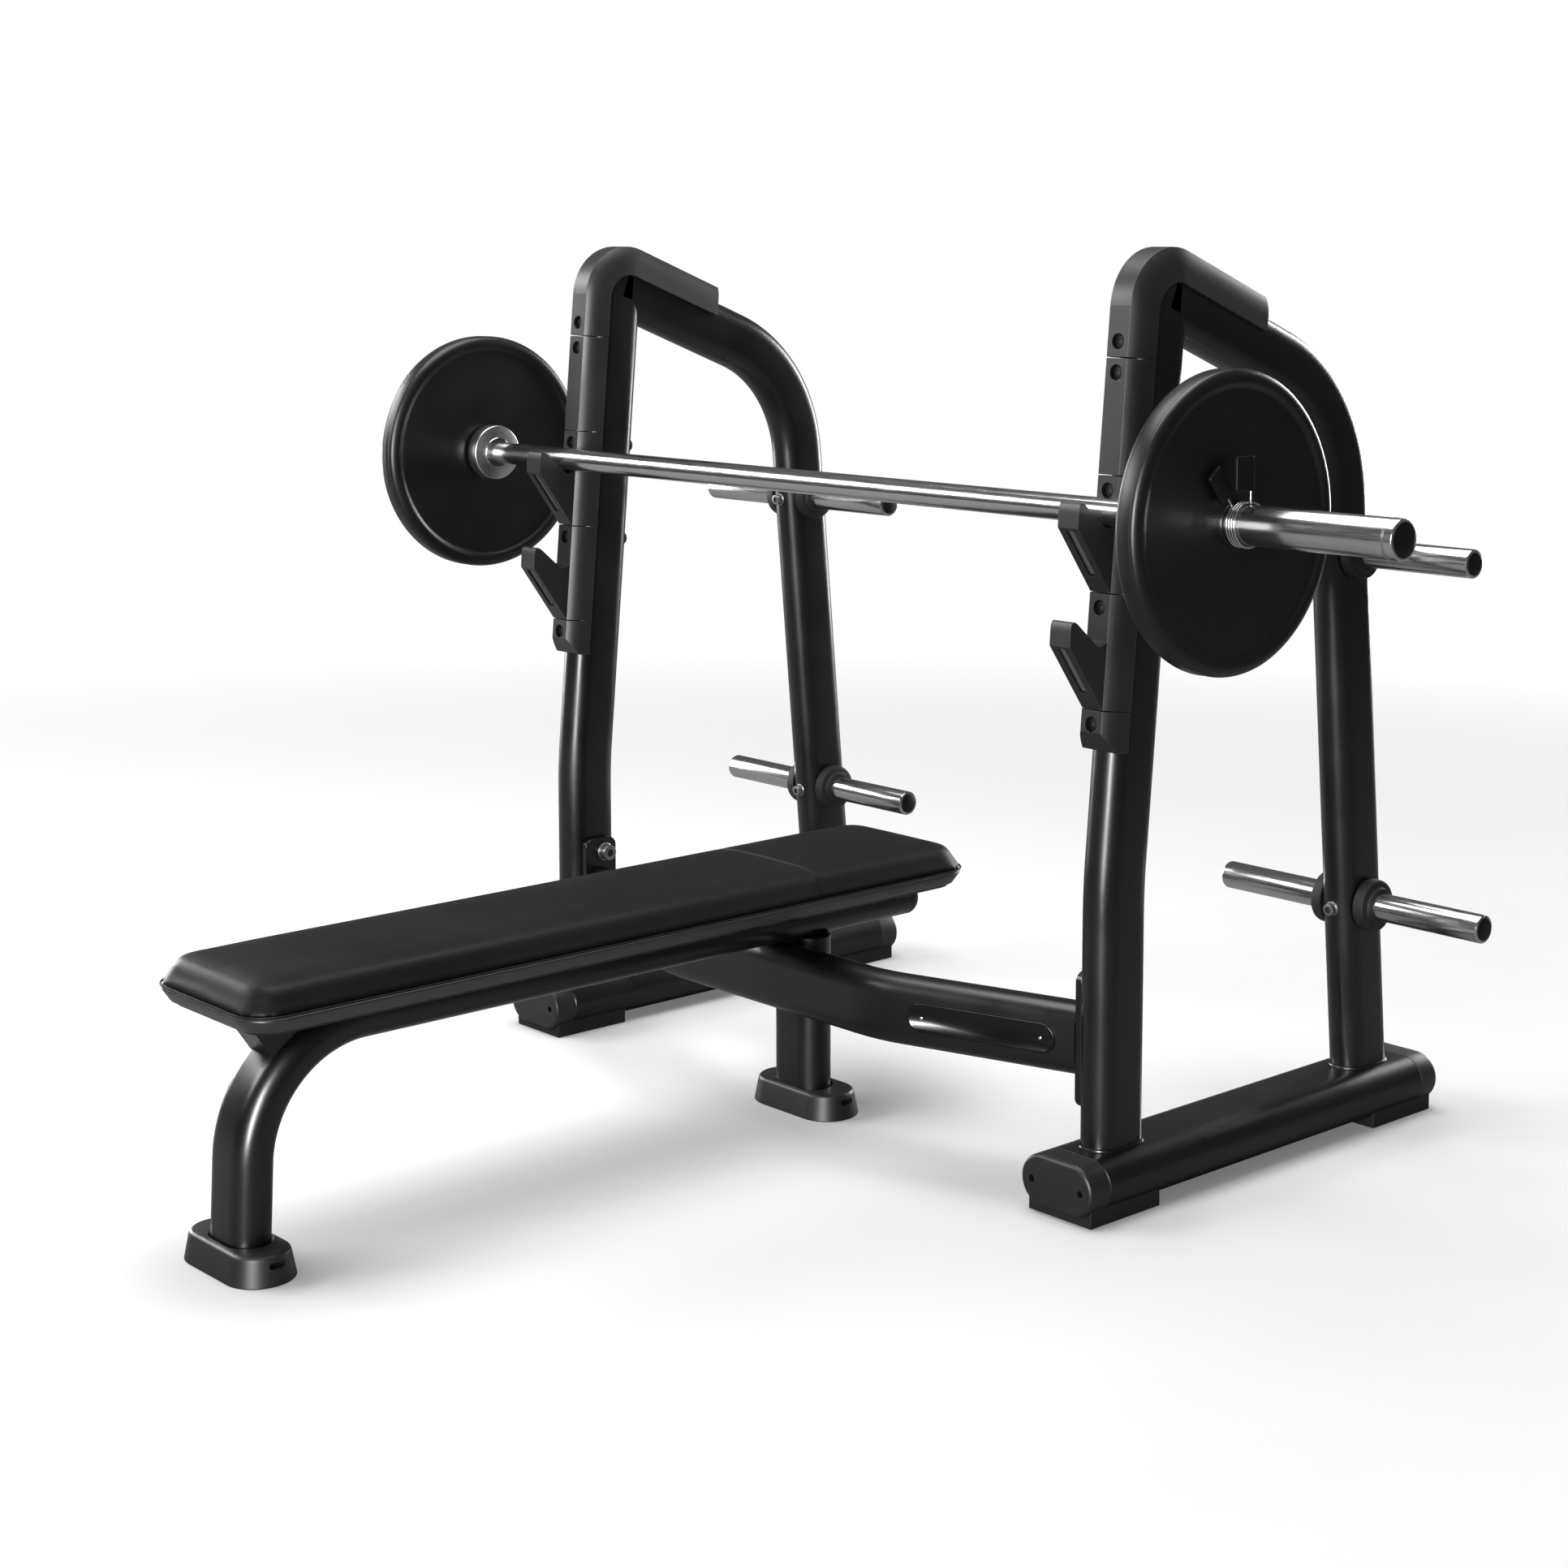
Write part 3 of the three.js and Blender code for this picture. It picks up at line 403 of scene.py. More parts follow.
def carve(mesh, cutter):
    """The mesh less the cutter's solid."""
    tool_mesh = bpy.data.meshes.new("tool")
    tool_mesh.from_pydata([tuple(p) for p in cutter[0]], [], cutter[1])
    outward(tool_mesh)
    body, tool = bpy.data.objects.new("body", mesh), bpy.data.objects.new("tool", tool_mesh)
    for obj in (body, tool):
        bpy.context.scene.collection.objects.link(obj)
    step = body.modifiers.new("cut", "BOOLEAN")
    step.operation, step.solver, step.object = "DIFFERENCE", "EXACT", tool
    graph = bpy.context.evaluated_depsgraph_get()
    graph.update()
    result = bpy.data.meshes.new_from_object(body.evaluated_get(graph))
    bpy.data.objects.remove(body)
    bpy.data.objects.remove(tool)
    return result


def block(outline, centre, u, v, half):
    """A prism of an outline in the plane u, v, reaching half each way along its normal."""
    normal = u.cross(v)
    return loft([place_ring(outline, centre + normal * s * half, u, v) for s in (-1, 1)])


def screw(name, centre, axis, radius, tall, finish, body="frame", socket=0.5):
    """A socket-cap head that stands on centre and points along axis, with its hexagonal socket."""
    c = radius * 0.12
    rim = radius * socket
    head = [(0, radius), (tall - c, radius), (tall - c * 0.3, radius - c * 0.3),
            (tall, radius - c), (tall, rim)]
    piece(name, lathe(head + [(tall * 0.45, rim * 0.98)], centre, axis, 40), finish, body)
    # The socket is a dark hexagonal plug that fills the head's hole to near its top: its dark face is
    # painted shade standing in for the socket's depth.
    socket = lathe([(0.0, rim), (tall * 0.9, rim * 0.9)], centre, axis, 6)
    piece(name + "_socket", socket, "recess", body, smooth=20)


# ---- Side frames ----
def leaning(x, forward, along):
    """A point from the leaning upright's own axes: forward of the tube's axis and along it."""
    upright_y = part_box("front_upright_right")[0].y + TUBE[1] / 2
    c, s = math.cos(LEAN), math.sin(LEAN)
    return Vector((x, upright_y - forward * c + along * s, UPRIGHT_BEND_Z + forward * s + along * c))


FRONT = Vector((0, -math.cos(LEAN), math.sin(LEAN)))
UP = Vector((0, math.sin(LEAN), math.cos(LEAN)))


def centre_of(node):
    low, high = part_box(node)
    return (low + high) / 2


def build_base(side, x):
    low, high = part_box(f"base_tube_{side}")
    z, size = (low.z + high.z) / 2, (high.x - low.x, high.z - low.z)

    def rings(stops):
        return [place_ring(oval(size[0] - 2 * inset, size[1] - 2 * inset, 28),
                           Vector((x, y, z)), X, Z)
                for y, inset in stops]

    edge = 0.0007
    ends = [(low.y, edge), (low.y + edge, 0), (high.y - edge, 0), (high.y, edge)]
    piece(f"base_tube_{side}_piece", loft(rings(ends)), "frame_paint",
          replaced=[f"base_tube_{side}"])
    for end, joint, sign in (("front", low.y, -1), ("rear", high.y, 1)):
        node = f"base_cap_{end}_{side}"
        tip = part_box(node)[0].y if sign < 0 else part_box(node)[1].y
        radius = 0.006
        stops = [(joint + sign * 0.0006, edge), (joint + sign * 0.0014, 0.0)]
        for i in range(6):
            a = math.pi / 2 * i / 5
            stops.append((tip - sign * radius * (1 - math.sin(a)), radius * (1 - math.cos(a))))
        verts, faces = loft(rings(stops))
        cap = bpy.data.meshes.new(node + "_shape")
        cap.from_pydata([tuple(p) for p in verts], [], faces)
        outward(cap)
        for dx in (-0.043, 0.043):
            spot = Vector((x + dx, tip, z))
            cap = carve(cap, lathe([(-0.009, 0.0052), (0.01, 0.0052)], spot, Y * sign, 28))
            piece(f"{node}_screw_{'out' if dx * x > 0 else 'in'}",
                  lathe([(0, 0.0046), (0.0012, 0.0046), (0.0022, 0.0034), (0.0024, 0.0015)],
                        spot - Y * sign * 0.0088, Y * sign, 24), "recess")
        dress(node + "_piece", cap, "cover_plastic", "frame", [node], 0, 30)
        copied(f"floor_pad_{end}_{side}", "black_rubber", 0.0014)


def upright_path(x):
    low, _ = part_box(f"front_upright_{'right' if x > 0 else 'left'}")
    foot_y = low.y + TUBE[1] / 2
    corner = Vector((x, foot_y, UPRIGHT_BEND_Z))
    return [Vector((x, foot_y, low.z)), corner, corner + UP * 0.8]


def arch_y(z):
    """The arch's axis in its leaning run."""
    low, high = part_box("rear_arch_right")
    foot = high.y - TUBE[1] / 2 / math.cos(LEAN)
    return foot - (z - low.z) * math.tan(LEAN)


def weld(name, outline, centre, sway=0.0004):
    """A bead round a tube's foot, uneven as a hand laid it."""
    ring = place_ring(outline, centre, X, Y)
    ring = [p + Vector((0, 0, sway * noise.noise(p * 300))) for p in ring]
    piece(name, wire(ring, 0.0026, 8, True), "frame_paint")


def build_tubes(side, x):
    outline = oval(TUBE[0], TUBE[1])
    path = upright_path(x)
    piece(f"front_upright_{side}_piece", sweep(bend(path, 0.9, math.radians(0.6)), outline, X),
          "frame_paint", replaced=[f"front_upright_{side}"])
    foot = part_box(f"rear_arch_{side}")[0].z
    corner = Vector((x, arch_y(ARCH_CORNER_Z), ARCH_CORNER_Z))
    end_y = 0.26
    end = Vector((x, end_y, corner.z + (corner.y - end_y) * math.tan(ARCH_PITCH)))
    arch = bend([Vector((x, arch_y(foot), foot)), corner, end], 0.225)
    piece(f"rear_arch_{side}_piece", sweep(arch, outline, X, flat_start=(2, foot)),
          "frame_paint", replaced=[f"rear_arch_{side}"])
    weld(f"upright_weld_{side}", oval(TUBE[0] + 0.001, TUBE[1] + 0.001, 60), path[0])
    weld(f"arch_weld_{side}", oval(TUBE[0] + 0.001, TUBE[1] / math.cos(LEAN) + 0.001, 60),
         Vector((x, arch_y(foot), foot)))


def hook_slope(along):
    """A point of the hook's outer slope, by its height above the hook's foot."""
    return 0.0674 + (along - 0.0005) * 0.0696 / 0.081


def build_covers(side, x):
    names = ("end_cover", "lower_hook", "upper_hook", "spacer_cover", "top_cover")
    for i, name in enumerate(names):
        joint = FIRST_JOINT + min(i, 3) * COVER_PITCH
        along = joint + SCREW_INSET if name == "top_cover" else joint - SCREW_INSET
        hole = leaning(x, COVER_REACH, along)
        cutters = [lathe([(-0.0095, 0.0104), (0.01, 0.0104)], hole, FRONT, 48)]
        if name.endswith("hook"):
            foot = FIRST_JOINT + (i - 1) * COVER_PITCH
            low, high = 0.020, 0.078
            start = leaning(x, hook_slope(low), foot + low)
            end = leaning(x, hook_slope(high), foot + high)
            run = (end - start).normalized()
            out = X.cross(run).normalized()
            out = out if out.y < 0 else -out
            middle, length = (start + end) / 2, (end - start).length
            slot = rounded(0.0135, length, 0.0015, 3)
            cutters.append(block(slot, middle, X, run, 0.006))
            strip = rounded(0.0125, length - 0.001, 0.001, 3)
            shape = block(strip, middle - out * 0.005, X, run, 0.0009)
            piece(f"{name}_insert_{side}", shape, "insert", bevel=0.0003)
        copied(f"{name}_{side}", "cover_plastic", 0.0013, cutters, 30)
        bottom = hole - FRONT * 0.0095
        piece(f"{name}_washer_{side}",
              lathe([(0, 0.0103), (0.001, 0.0103), (0.001, 0.0045)], bottom, FRONT, 48), "recess")
        screw(f"{name}_screw_{side}", bottom + FRONT * 0.0008, FRONT, 0.0075, 0.004, "grip_plastic")
        if name.endswith("hook"):
            back = leaning(x, -TUBE[1] / 2 + 0.0006, along)
            cap = [(0, 0.0105), (0.004, 0.0105), (0.0062, 0.0088), (0.007, 0.006), (0.0072, 0.002)]
            piece(f"{name}_nut_cap_{side}", lathe(cap, back, -FRONT, 40), "grip_plastic")


def build_horns(side, x):
    for level in ("lower", "upper"):
        node = f"storage_horn_{level}_{side}"
        low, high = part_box(node)
        centre, radius, reach = (low + high) / 2, (high.z - low.z) / 2, (high.x - low.x) / 2
        edge = 0.0022
        profile = [(-reach, radius - edge), (-reach + edge * 0.3, radius - edge * 0.3),
                   (-reach + edge, radius), (reach - edge, radius),
                   (reach - edge * 0.3, radius - edge * 0.3), (reach, radius - edge)]
        horn = lathe(profile, centre)
        piece(node + "_piece", horn, "chrome", replaced=[node])
        for end in (-1, 1):
            disc = [(0, radius * 0.8), (0.0008, radius * 0.8), (0.0016, radius * 0.74),
                    (0.0017, radius * 0.1)]
            where = "outer" if end * x > 0 else "inner"
            piece(f"{node}_disc_{where}", lathe(disc, centre + X * end * reach, X * end, 64),
                  "grip_plastic")
            bumper = f"horn_bumper_{level}_{where}_{side}"
            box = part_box(bumper)
            root = box[0].x if end > 0 else box[1].x
            big, bore = 0.0375, radius + 0.0003
            shape = [(0, bore), (0, big - 0.001), (0.001, big), (0.0135, big),
                     (0.0165, big - 0.0012), (0.018, big - 0.0045), (0.0182, 0.0285),
                     (0.0195, 0.027), (0.0225, 0.0262), (0.023, 0.025), (0.023, bore)]
            piece(bumper + "_piece",
                  lathe(shape, Vector((root, centre.y, centre.z)), X * end, 80, True),
                  "black_rubber", replaced=[bumper])
        tilt = Vector((0, -math.cos(LEAN), -math.sin(LEAN)))
        face = Vector((x, arch_y(centre.z), centre.z)) + tilt * (TUBE[1] / 2 - 0.0012)
        flange = [(0, 0.0105), (0.0016, 0.0105), (0.0024, 0.0098), (0.0025, 0.004)]
        piece(f"set_bolt_flange_{level}_{side}", lathe(flange, face, tilt, 40), "zinc")
        screw(f"set_bolt_{level}_{side}", face + tilt * 0.002, tilt, 0.0085, 0.0095, "zinc")


def build_flange(side, x):
    node = f"flange_plate_{side}"
    low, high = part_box(node)
    inner = low.x if x > 0 else high.x
    copied(node, "frame_paint", 0.0012)
    inward = -X if x > 0 else X
    for z in (0.286, 0.146):
        spot = Vector((inner, 0.1975, z))
        washer = [(0, 0.0145), (0.0018, 0.0145), (0.0024, 0.0138), (0.0024, 0.006)]
        level = "high" if z > 0.2 else "low"
        piece(f"flange_washer_{level}_{side}", lathe(washer, spot, inward, 48), "zinc")
        screw(f"flange_bolt_{level}_{side}", spot + inward * 0.0022, inward, 0.0122, 0.013, "zinc")


for side, sign in SIDES:
    x = centre_of(f"base_tube_{side}").x
    build_base(side, x)
    build_tubes(side, x)
    build_covers(side, x)
    build_horns(side, x)
    build_flange(side, x)


# ---- Crossmember and badge ----
def build_crossmember():
    low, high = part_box("crossmember")
    tall, z = high.z - low.z, (high.z + low.z) / 2
    front_y = low.y + TUBE[0] / 2
    end_x, upright_y = high.x, upright_path(1)[0].y
    slope = (upright_y - front_y) / (end_x - 0.23)
    far = Vector((end_x + 0.02, front_y + slope * (end_x + 0.02 - 0.23), z))
    mirrored = Vector((-far.x, far.y, far.z))
    corners = [mirrored, Vector((-0.23, front_y, z)), Vector((0.23, front_y, z)), far]
    tube = sweep(bend(corners, 0.26, math.radians(1.2)), oval(tall, TUBE[0]), Z,
                 flat_start=(0, low.x), flat_end=(0, high.x))
    piece("crossmember_piece", tube, "frame_paint", replaced=["crossmember"])
    run = Vector((1, slope, 0)).normalized()
    out = run.cross(Z)
    middle = Vector((0.3925, front_y + (0.3925 - 0.23) * slope, z)) + out * (TUBE[0] / 2 - 0.0004)
    wide, high_ = 0.224, 0.041
    rings = []
    for depth, inset in ((0, 0), (0.0026, 0), (0.0034, 0.0008), (0.0034, 0.0026), (0.0027, 0.0032)):
        outline = oval(wide - 2 * inset, high_ - 2 * inset, 32)
        rings.append(place_ring(outline, middle + out * depth, run, Z))
    piece("badge_piece", loft(rings), "badge", replaced=["badge"], smooth=50)
    for end in (-1, 1):
        spot = middle + run * end * 0.0905 + out * 0.0026
        rivet = [(0, 0.0024), (0.0006, 0.0023), (0.0011, 0.0014), (0.0012, 0.0003)]
        name = f"badge_rivet_{'right' if end > 0 else 'left'}"
        piece(name, lathe(rivet, spot, out, 24), "chrome")


build_crossmember()


# ---- Bench ----
def build_bench_frame():
    low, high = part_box("bench_beam")
    z = high.z - TUBE[0] / 2
    foot_y, corner_y = -0.7835, -0.768
    cap = 0.016
    head = Vector((0, high.y - cap, z))
    path = [head, Vector((0, corner_y, z)), Vector((0, foot_y, 0))]
    outline = oval(TUBE[1], TUBE[0])
    tube = sweep(bend(path, 0.165), outline, X, flat_end=(2, 0.004))
    piece("bench_beam_piece", tube, "frame_paint", replaced=["bench_beam"])
    stops = [(0.0002, 0.0006), (0.001, 0.0)]
    for i in range(7):
        a = math.pi / 2 * i / 6
        stops.append((cap - 0.010 * (1 - math.sin(a)), 0.010 * (1 - math.cos(a))))
    rings = [place_ring(oval(TUBE[1] - 2 * inset, TUBE[0] - 2 * inset), head + Y * t, X, Z)
             for t, inset in stops]
    piece("beam_end_cap", loft(rings), "cover_plastic")
    low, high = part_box("rear_post")
    y = (low.y + high.y) / 2
    post = [(Vector((0, y, 0.004)), Z), (Vector((0, y, high.z)), Z)]
    piece("rear_post_piece", sweep(post, outline, X), "frame_paint", replaced=["rear_post"])
    copied("front_bracket", "frame_paint", 0.001)
    build_foot("front", foot_y + 0.002)
    build_foot("rear", y)


def build_foot(name, leg_y):
    node = f"foot_cover_{name}"
    low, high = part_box(node)
    wide, deep, tall = high.x - low.x, high.y - low.y, high.z
    centre = Vector((0, (low.y + high.y) / 2, 0))
    rings = []
    for z, inset in ((0, 0.0012), (0.0012, 0), (tall - 0.006, 0.006), (tall - 0.003, 0.0072),
                     (tall - 0.0012, 0.0092), (tall - 0.0002, 0.012)):
        rings.append(place_ring(oval(wide - 2 * inset, deep - 2 * inset, 28), centre + Z * z, X, Y))
    leg = Vector((0, leg_y, 0))
    rings.append(place_ring(oval(0.0985, 0.0635, 28), leg + Z * (tall - 0.0004), X, Y))
    rings.append(place_ring(oval(0.0955, 0.0605, 28), leg + Z * (tall - 0.004), X, Y))
    mesh = bpy.data.meshes.new(node + "_shape")
    verts, faces = loft(rings)
    mesh.from_pydata([tuple(p) for p in verts], [], faces)
    outward(mesh)
    slot_centre = Vector((wide / 2, centre.y + 0.003, 0.0245))
    mesh = carve(mesh, block(oval(0.024, 0.0085, 12), slot_centre, Y, Z, 0.016))
    dress(node + "_piece", mesh, "cover_plastic", "frame", [node], 0.0005, 30)


build_bench_frame()


# ---- Pad ----
def pad_ring(inset, z):
    low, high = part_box("bench_pad")
    wide, long = high.x - low.x, high.y - low.y
    centre = Vector(((low.x + high.x) / 2, (low.y + high.y) / 2, z))
    outline = rounded(wide - 2 * inset, long - 2 * inset, 0.05 - inset * 0.85, 14)
    return place_ring(outline, centre, X, Y)


def build_board():
    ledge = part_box("bench_pad")[0].z
    trim_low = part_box("pad_trim")[0].z
    rings = [pad_ring(inset, z) for inset, z in (
        (0.018, ledge - 0.0008), (0.003, ledge - 0.0008), (0.0018, ledge - 0.002),
        (0.0018, ledge - 0.0045), (0.0105, trim_low + 0.0022), (0.0118, trim_low + 0.0006),
        (0.014, trim_low), (0.0165, trim_low + 0.0002))]
    piece("pad_trim_piece", loft(rings, True), "pad_trim", replaced=["pad_trim"], smooth=50)
    low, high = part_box("pad_board")
    rings = [pad_ring(inset, z) for inset, z in (
        (0.022, low.z), (0.0192, low.z + 0.0004), (0.0182, low.z + 0.0018), (0.0182, high.z))]
    piece("pad_board_piece", loft(rings), "pad_board", replaced=["pad_board"])


def build_pad():
    """Foam under vinyl: inflated against its own cloth, held at the ledge, then sewn."""
    low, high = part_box("bench_pad")
    base, top = low.z, high.z - 0.005
    stops = [(0.0035, base + 0.0002), (0.0012, base + 0.0012), (0.0012, base + 0.0035)]
    stops += [(0.005, base + 0.009), (0.0155, base + 0.027)]
    for i in range(1, 7):
        a = math.pi / 2 * i / 6
        inset = 0.0155 + 0.017 * (1 - math.cos(a)) + 0.003 * math.sin(a)
        stops.append((inset, base + 0.027 + (top - base - 0.027) * math.sin(a)))
    shell = loft([pad_ring(inset, z) for inset, z in stops])
    mesh = bpy.data.meshes.new("bench_pad_piece")
    mesh.from_pydata([tuple(p) for p in shell[0]], [], shell[1])
    outward(mesh)
    obj = bpy.data.objects.new("bench_pad_piece", mesh)
    bpy.context.scene.collection.objects.link(obj)
    remesh = obj.modifiers.new("remesh", "REMESH")
    remesh.mode, remesh.voxel_size = "VOXEL", 0.006
    bake(obj)
    rest = [v.co.copy() for v in obj.data.vertices]
    inflate(obj, base + 0.006)
    relax(obj, rest, base)
    even = obj.modifiers.new("even", "SMOOTH")
    even.factor, even.iterations = 0.5, 5
    bake(obj)
    for vertex in obj.data.vertices:
        spot = vertex.co
        share = max(0.0, (spot.z - base - 0.01) / (top - base))
        spot.z -= share * 0.0016 * math.exp(-(((spot.y - 0.0815) / 0.0035) ** 2))
        spot.z = min(spot.z, high.z + 0.001)
    sub = obj.modifiers.new("smooth", "SUBSURF")
    sub.levels = sub.render_levels = 1
    bake(obj)
    obj.data.materials.clear()
    obj.data.materials.append(FINISHES["pad_vinyl"])
    obj.data.shade_smooth()
    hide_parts("bench_pad")
    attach(obj, "frame")
    return obj


def bake(obj):
    """The object's modifiers become its mesh."""
    graph = bpy.context.evaluated_depsgraph_get()
    graph.update()
    result = bpy.data.meshes.new_from_object(obj.evaluated_get(graph))
    obj.modifiers.clear()
    obj.data = result


def inflate(obj, held_below):
    group = obj.vertex_groups.new(name="held")
    group.add([v.index for v in obj.data.vertices if v.co.z < held_below], 1.0, "REPLACE")
    cloth = obj.modifiers.new("cloth", "CLOTH")
    settings = cloth.settings
    settings.quality = 4
    settings.vertex_group_mass = "held"
    settings.use_pressure = True
    settings.uniform_pressure_force = 4.0
    settings.effector_weights.gravity = 0
    settings.tension_stiffness = settings.compression_stiffness = 40
    settings.bending_stiffness = 2
    cloth.point_cache.frame_start, cloth.point_cache.frame_end = 1, 20
    for number in range(1, 21):
        bpy.context.scene.frame_set(number)
    bake(obj)
    bpy.context.scene.frame_set(1)


def relax(obj, rest, base):
    """Keeps the swelling small and even: a low crown on top and nearly flat sides."""
    low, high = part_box("bench_pad")
    half = (high.x - low.x) / 2
    for vertex, place in zip(obj.data.vertices, rest):
        moved = vertex.co - place
        limit = 0.0012 if place.z > base + 0.012 else 0.0004
        if moved.length > limit:
            moved *= limit / moved.length
        across = max(0.0, 1 - (place.x / half) ** 2)
        ends = min(1.0, (place.y - low.y) / 0.12, (high.y - place.y) / 0.12)
        share = max(0.0, min(1.0, (place.z - base - 0.024) / 0.01))
        crown = 0.0034 * across * max(0.0, ends) * share
        vertex.co = place + moved + Z * crown


def build_seams(pad):
    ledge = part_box("bench_pad")[0].z
    welt = wire(pad_ring(0.0009, ledge + 0.0018), 0.0015, 8, True)
    piece("pad_welt", welt, "pad_vinyl")
    verts = [v.co.copy() for v in pad.data.vertices]
    tree = BVHTree.FromPolygons(verts, [tuple(p.vertices) for p in pad.data.polygons])
    for row, y in (("front", 0.0797), ("rear", 0.0833)):
        points = []
        for i in range(121):
            a = math.pi * i / 120
            side = Vector((-math.cos(a), 0, math.sin(a)))
            start = Vector((0, y, ledge + 0.008)) + side * 0.4
            hit = tree.ray_cast(start, -side)
            if hit[0]:
                points.append(hit[0] + hit[1] * 0.00005)
        piece(f"pad_seam_{row}", wire(points, 0.00065, 6), "pad_vinyl")


pad = build_pad()
build_board()
build_seams(pad)


# ---- Barbell ----
def about_bar(x, radius, angle):
    """Angle 0 is straight up and grows forwards."""
    return Vector((x, BAR_Y - radius * math.sin(angle), BAR_Z + radius * math.cos(angle)))


def build_shaft():
    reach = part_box("bar_sleeve_right")[0].x
    radius = (BAR[1].z - BAR[0].z) / 2
    stops = [(-reach, radius - 0.0008), (-reach + 0.0008, radius),
             (reach - 0.0008, radius), (reach, radius - 0.0008)]
    axis_point = Vector((0, BAR_Y, BAR_Z))
    piece("bar_shaft_piece", lathe(stops, axis_point), "chrome", "bar", ["bar_shaft"])


def build_end(side, sign):
    body = f"sleeve_{side}"
    low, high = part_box(f"bar_sleeve_{side}")
    near, far = (low.x, high.x) if sign > 0 else (-high.x, -low.x)
    centre, axis = Vector((0, BAR_Y, BAR_Z)), X * sign
    collar, radius, thick, edge = (high.z - low.z) / 2, 0.025, 0.023, 0.0018
    tube = [(near + thick - 0.001, radius), (far - edge, radius), (far - edge * 0.4, radius - edge * 0.3),
            (far, radius - edge), (far, radius * 0.84), (far - 0.0015, radius * 0.82)]
    piece(f"bar_sleeve_{side}_piece", lathe(tube, centre, axis), "chrome", body, [f"bar_sleeve_{side}"])
    ring = [(near, 0.0178), (near, collar - edge), (near + edge * 0.4, collar - edge * 0.3),
            (near + edge, collar),
            (near + thick - edge, collar), (near + thick - edge * 0.4, collar - edge * 0.3),
            (near + thick, collar - edge), (near + thick, radius + 0.001), (near + thick + 0.001, radius)]
    piece(f"bar_collar_{side}", lathe(ring, centre, axis, 128), "turned", body)
    piece(f"bar_bushing_{side}",
          lathe([(near - 0.0016, 0.0176), (near - 0.0016, 0.0235), (near - 0.0008, 0.0243),
                 (near + 0.002, 0.0243),
                 (near + 0.002, 0.0176)], centre, axis, 64, True), "chrome", body)
    disc = [(far - 0.004, radius * 0.81), (far - 0.0006, radius * 0.81), (far + 0.0001, radius * 0.77),
            (far + 0.0004, radius * 0.4), (far + 0.0004, 0.0005)]
    piece(f"sleeve_disc_{side}", lathe(disc, centre, axis, 64), "grip_plastic", body)
    for groove in (0.0, 0.0022):
        snap = [(far - 0.013 - groove, radius - 0.0002), (far - 0.0128 - groove, radius + 0.0003),
                (far - 0.0121 - groove, radius + 0.0003), (far - 0.0119 - groove, radius - 0.0002)]
        piece(f"sleeve_ring_{'b' if groove else 'a'}_{side}", lathe(snap, centre, axis, 96), "zinc", body)


def build_plate(side, sign):
    node = f"weight_plate_{side}"
    low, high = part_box(node)
    near, thick = (low.x if sign > 0 else -high.x), high.x - low.x
    radius, bore = (high.z - low.z) / 2, 0.0256
    face = [(5.0, radius - 0.0245), (4.7, radius - 0.0228), (3.6, radius - 0.0210), (1.6, radius - 0.0190),
            (0.6, radius - 0.0172), (0.1, radius - 0.0152), (0.0, radius - 0.0130), (0.3, radius - 0.0105),
            (1.0, radius - 0.0078), (2.4, radius - 0.0050), (4.2, radius - 0.0026), (6.4, radius - 0.0008),
            (8.6, radius)]
    hub = [(6.0, bore), (5.2, bore + 0.0008), (5.02, bore + 0.0026), (5.0, bore + 0.005),
           (5.0, radius - 0.027)]
    front = [(near + thick - depth / 1000, r) for depth, r in hub + face]
    back = [(near + depth / 1000, r) for depth, r in reversed(hub + face)]
    piece(node + "_piece", lathe(front + back, Vector((0, BAR_Y, BAR_Z)), X * sign, 160, True),
          "plate_rubber", f"plate_{side}", [node], smooth=50)
    for depth in (0.0105, thick - 0.0105):
        hoop = [(near + depth - 0.0006, radius - 0.0003), (near + depth, radius + 0.0003),
                (near + depth + 0.0006, radius - 0.0003)]
        where = "inner" if depth < 0.02 else "outer"
        piece(f"plate_rim_line_{where}_{side}", lathe(hoop, Vector((0, BAR_Y, BAR_Z)), X * sign, 160),
              "plate_rubber", f"plate_{side}")


def build_clip(side, sign):
    low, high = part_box(f"clip_coil_{side}")
    near = low.x if sign > 0 else -high.x
    wire_radius, pitch, coil = 0.00175, 0.004, 0.0275
    start, turns = math.radians(38), 4 - 38 / 360
    first, last = near + wire_radius, near + wire_radius + pitch * turns
    grip = 0.042

    def at(along, radius, angle):
        return about_bar(along * sign, radius, angle)

    points = []
    for i in range(321):
        share = i / 320
        points.append(at(first + share * (last - first), coil, start + share * turns * 2 * math.pi))
    points += [at(last, coil + 0.0015, 0.0), at(last, coil + 0.006, 0), at(last, grip + 0.018, 0)]
    piece(f"clip_coil_{side}_piece", wire(points, wire_radius, 12), "chrome", f"clip_{side}",
          [f"clip_coil_{side}"])
    tall, thick = 0.043, 0.005
    for name, angle, along, wide, forward, body in (
        ("clip_fixed_grip", 0.0, last, 0.033, 0.013, f"clip_{side}"),
        ("clip_lever", start, first + 0.001, 0.026, 0.0, f"lever_{side}"),
    ):
        out = Vector((0, -math.sin(angle), math.cos(angle)))
        forwards = Vector((0, -math.cos(angle), -math.sin(angle)))
        middle = at(along, grip + tall / 2, angle) + forwards * forward
        verts, faces = block(rounded(wide, tall, 0.004, 6), middle, forwards, out, thick / 2)
        node = f"{name}_{side}"
        piece(node + "_piece", (verts, faces), "grip_plastic", body, [node], bevel=0.0011)
    root = [at(first + 0.001, coil + 0.0026, start), at(first + 0.001, coil + 0.008, start),
            at(first + 0.001, grip + 0.012, start)]
    piece(f"clip_lever_wire_{side}", wire(root, wire_radius, 12), "chrome", f"lever_{side}")


build_shaft()
for side, sign in SIDES:
    build_end(side, sign)
    build_plate(side, sign)
    build_clip(side, sign)


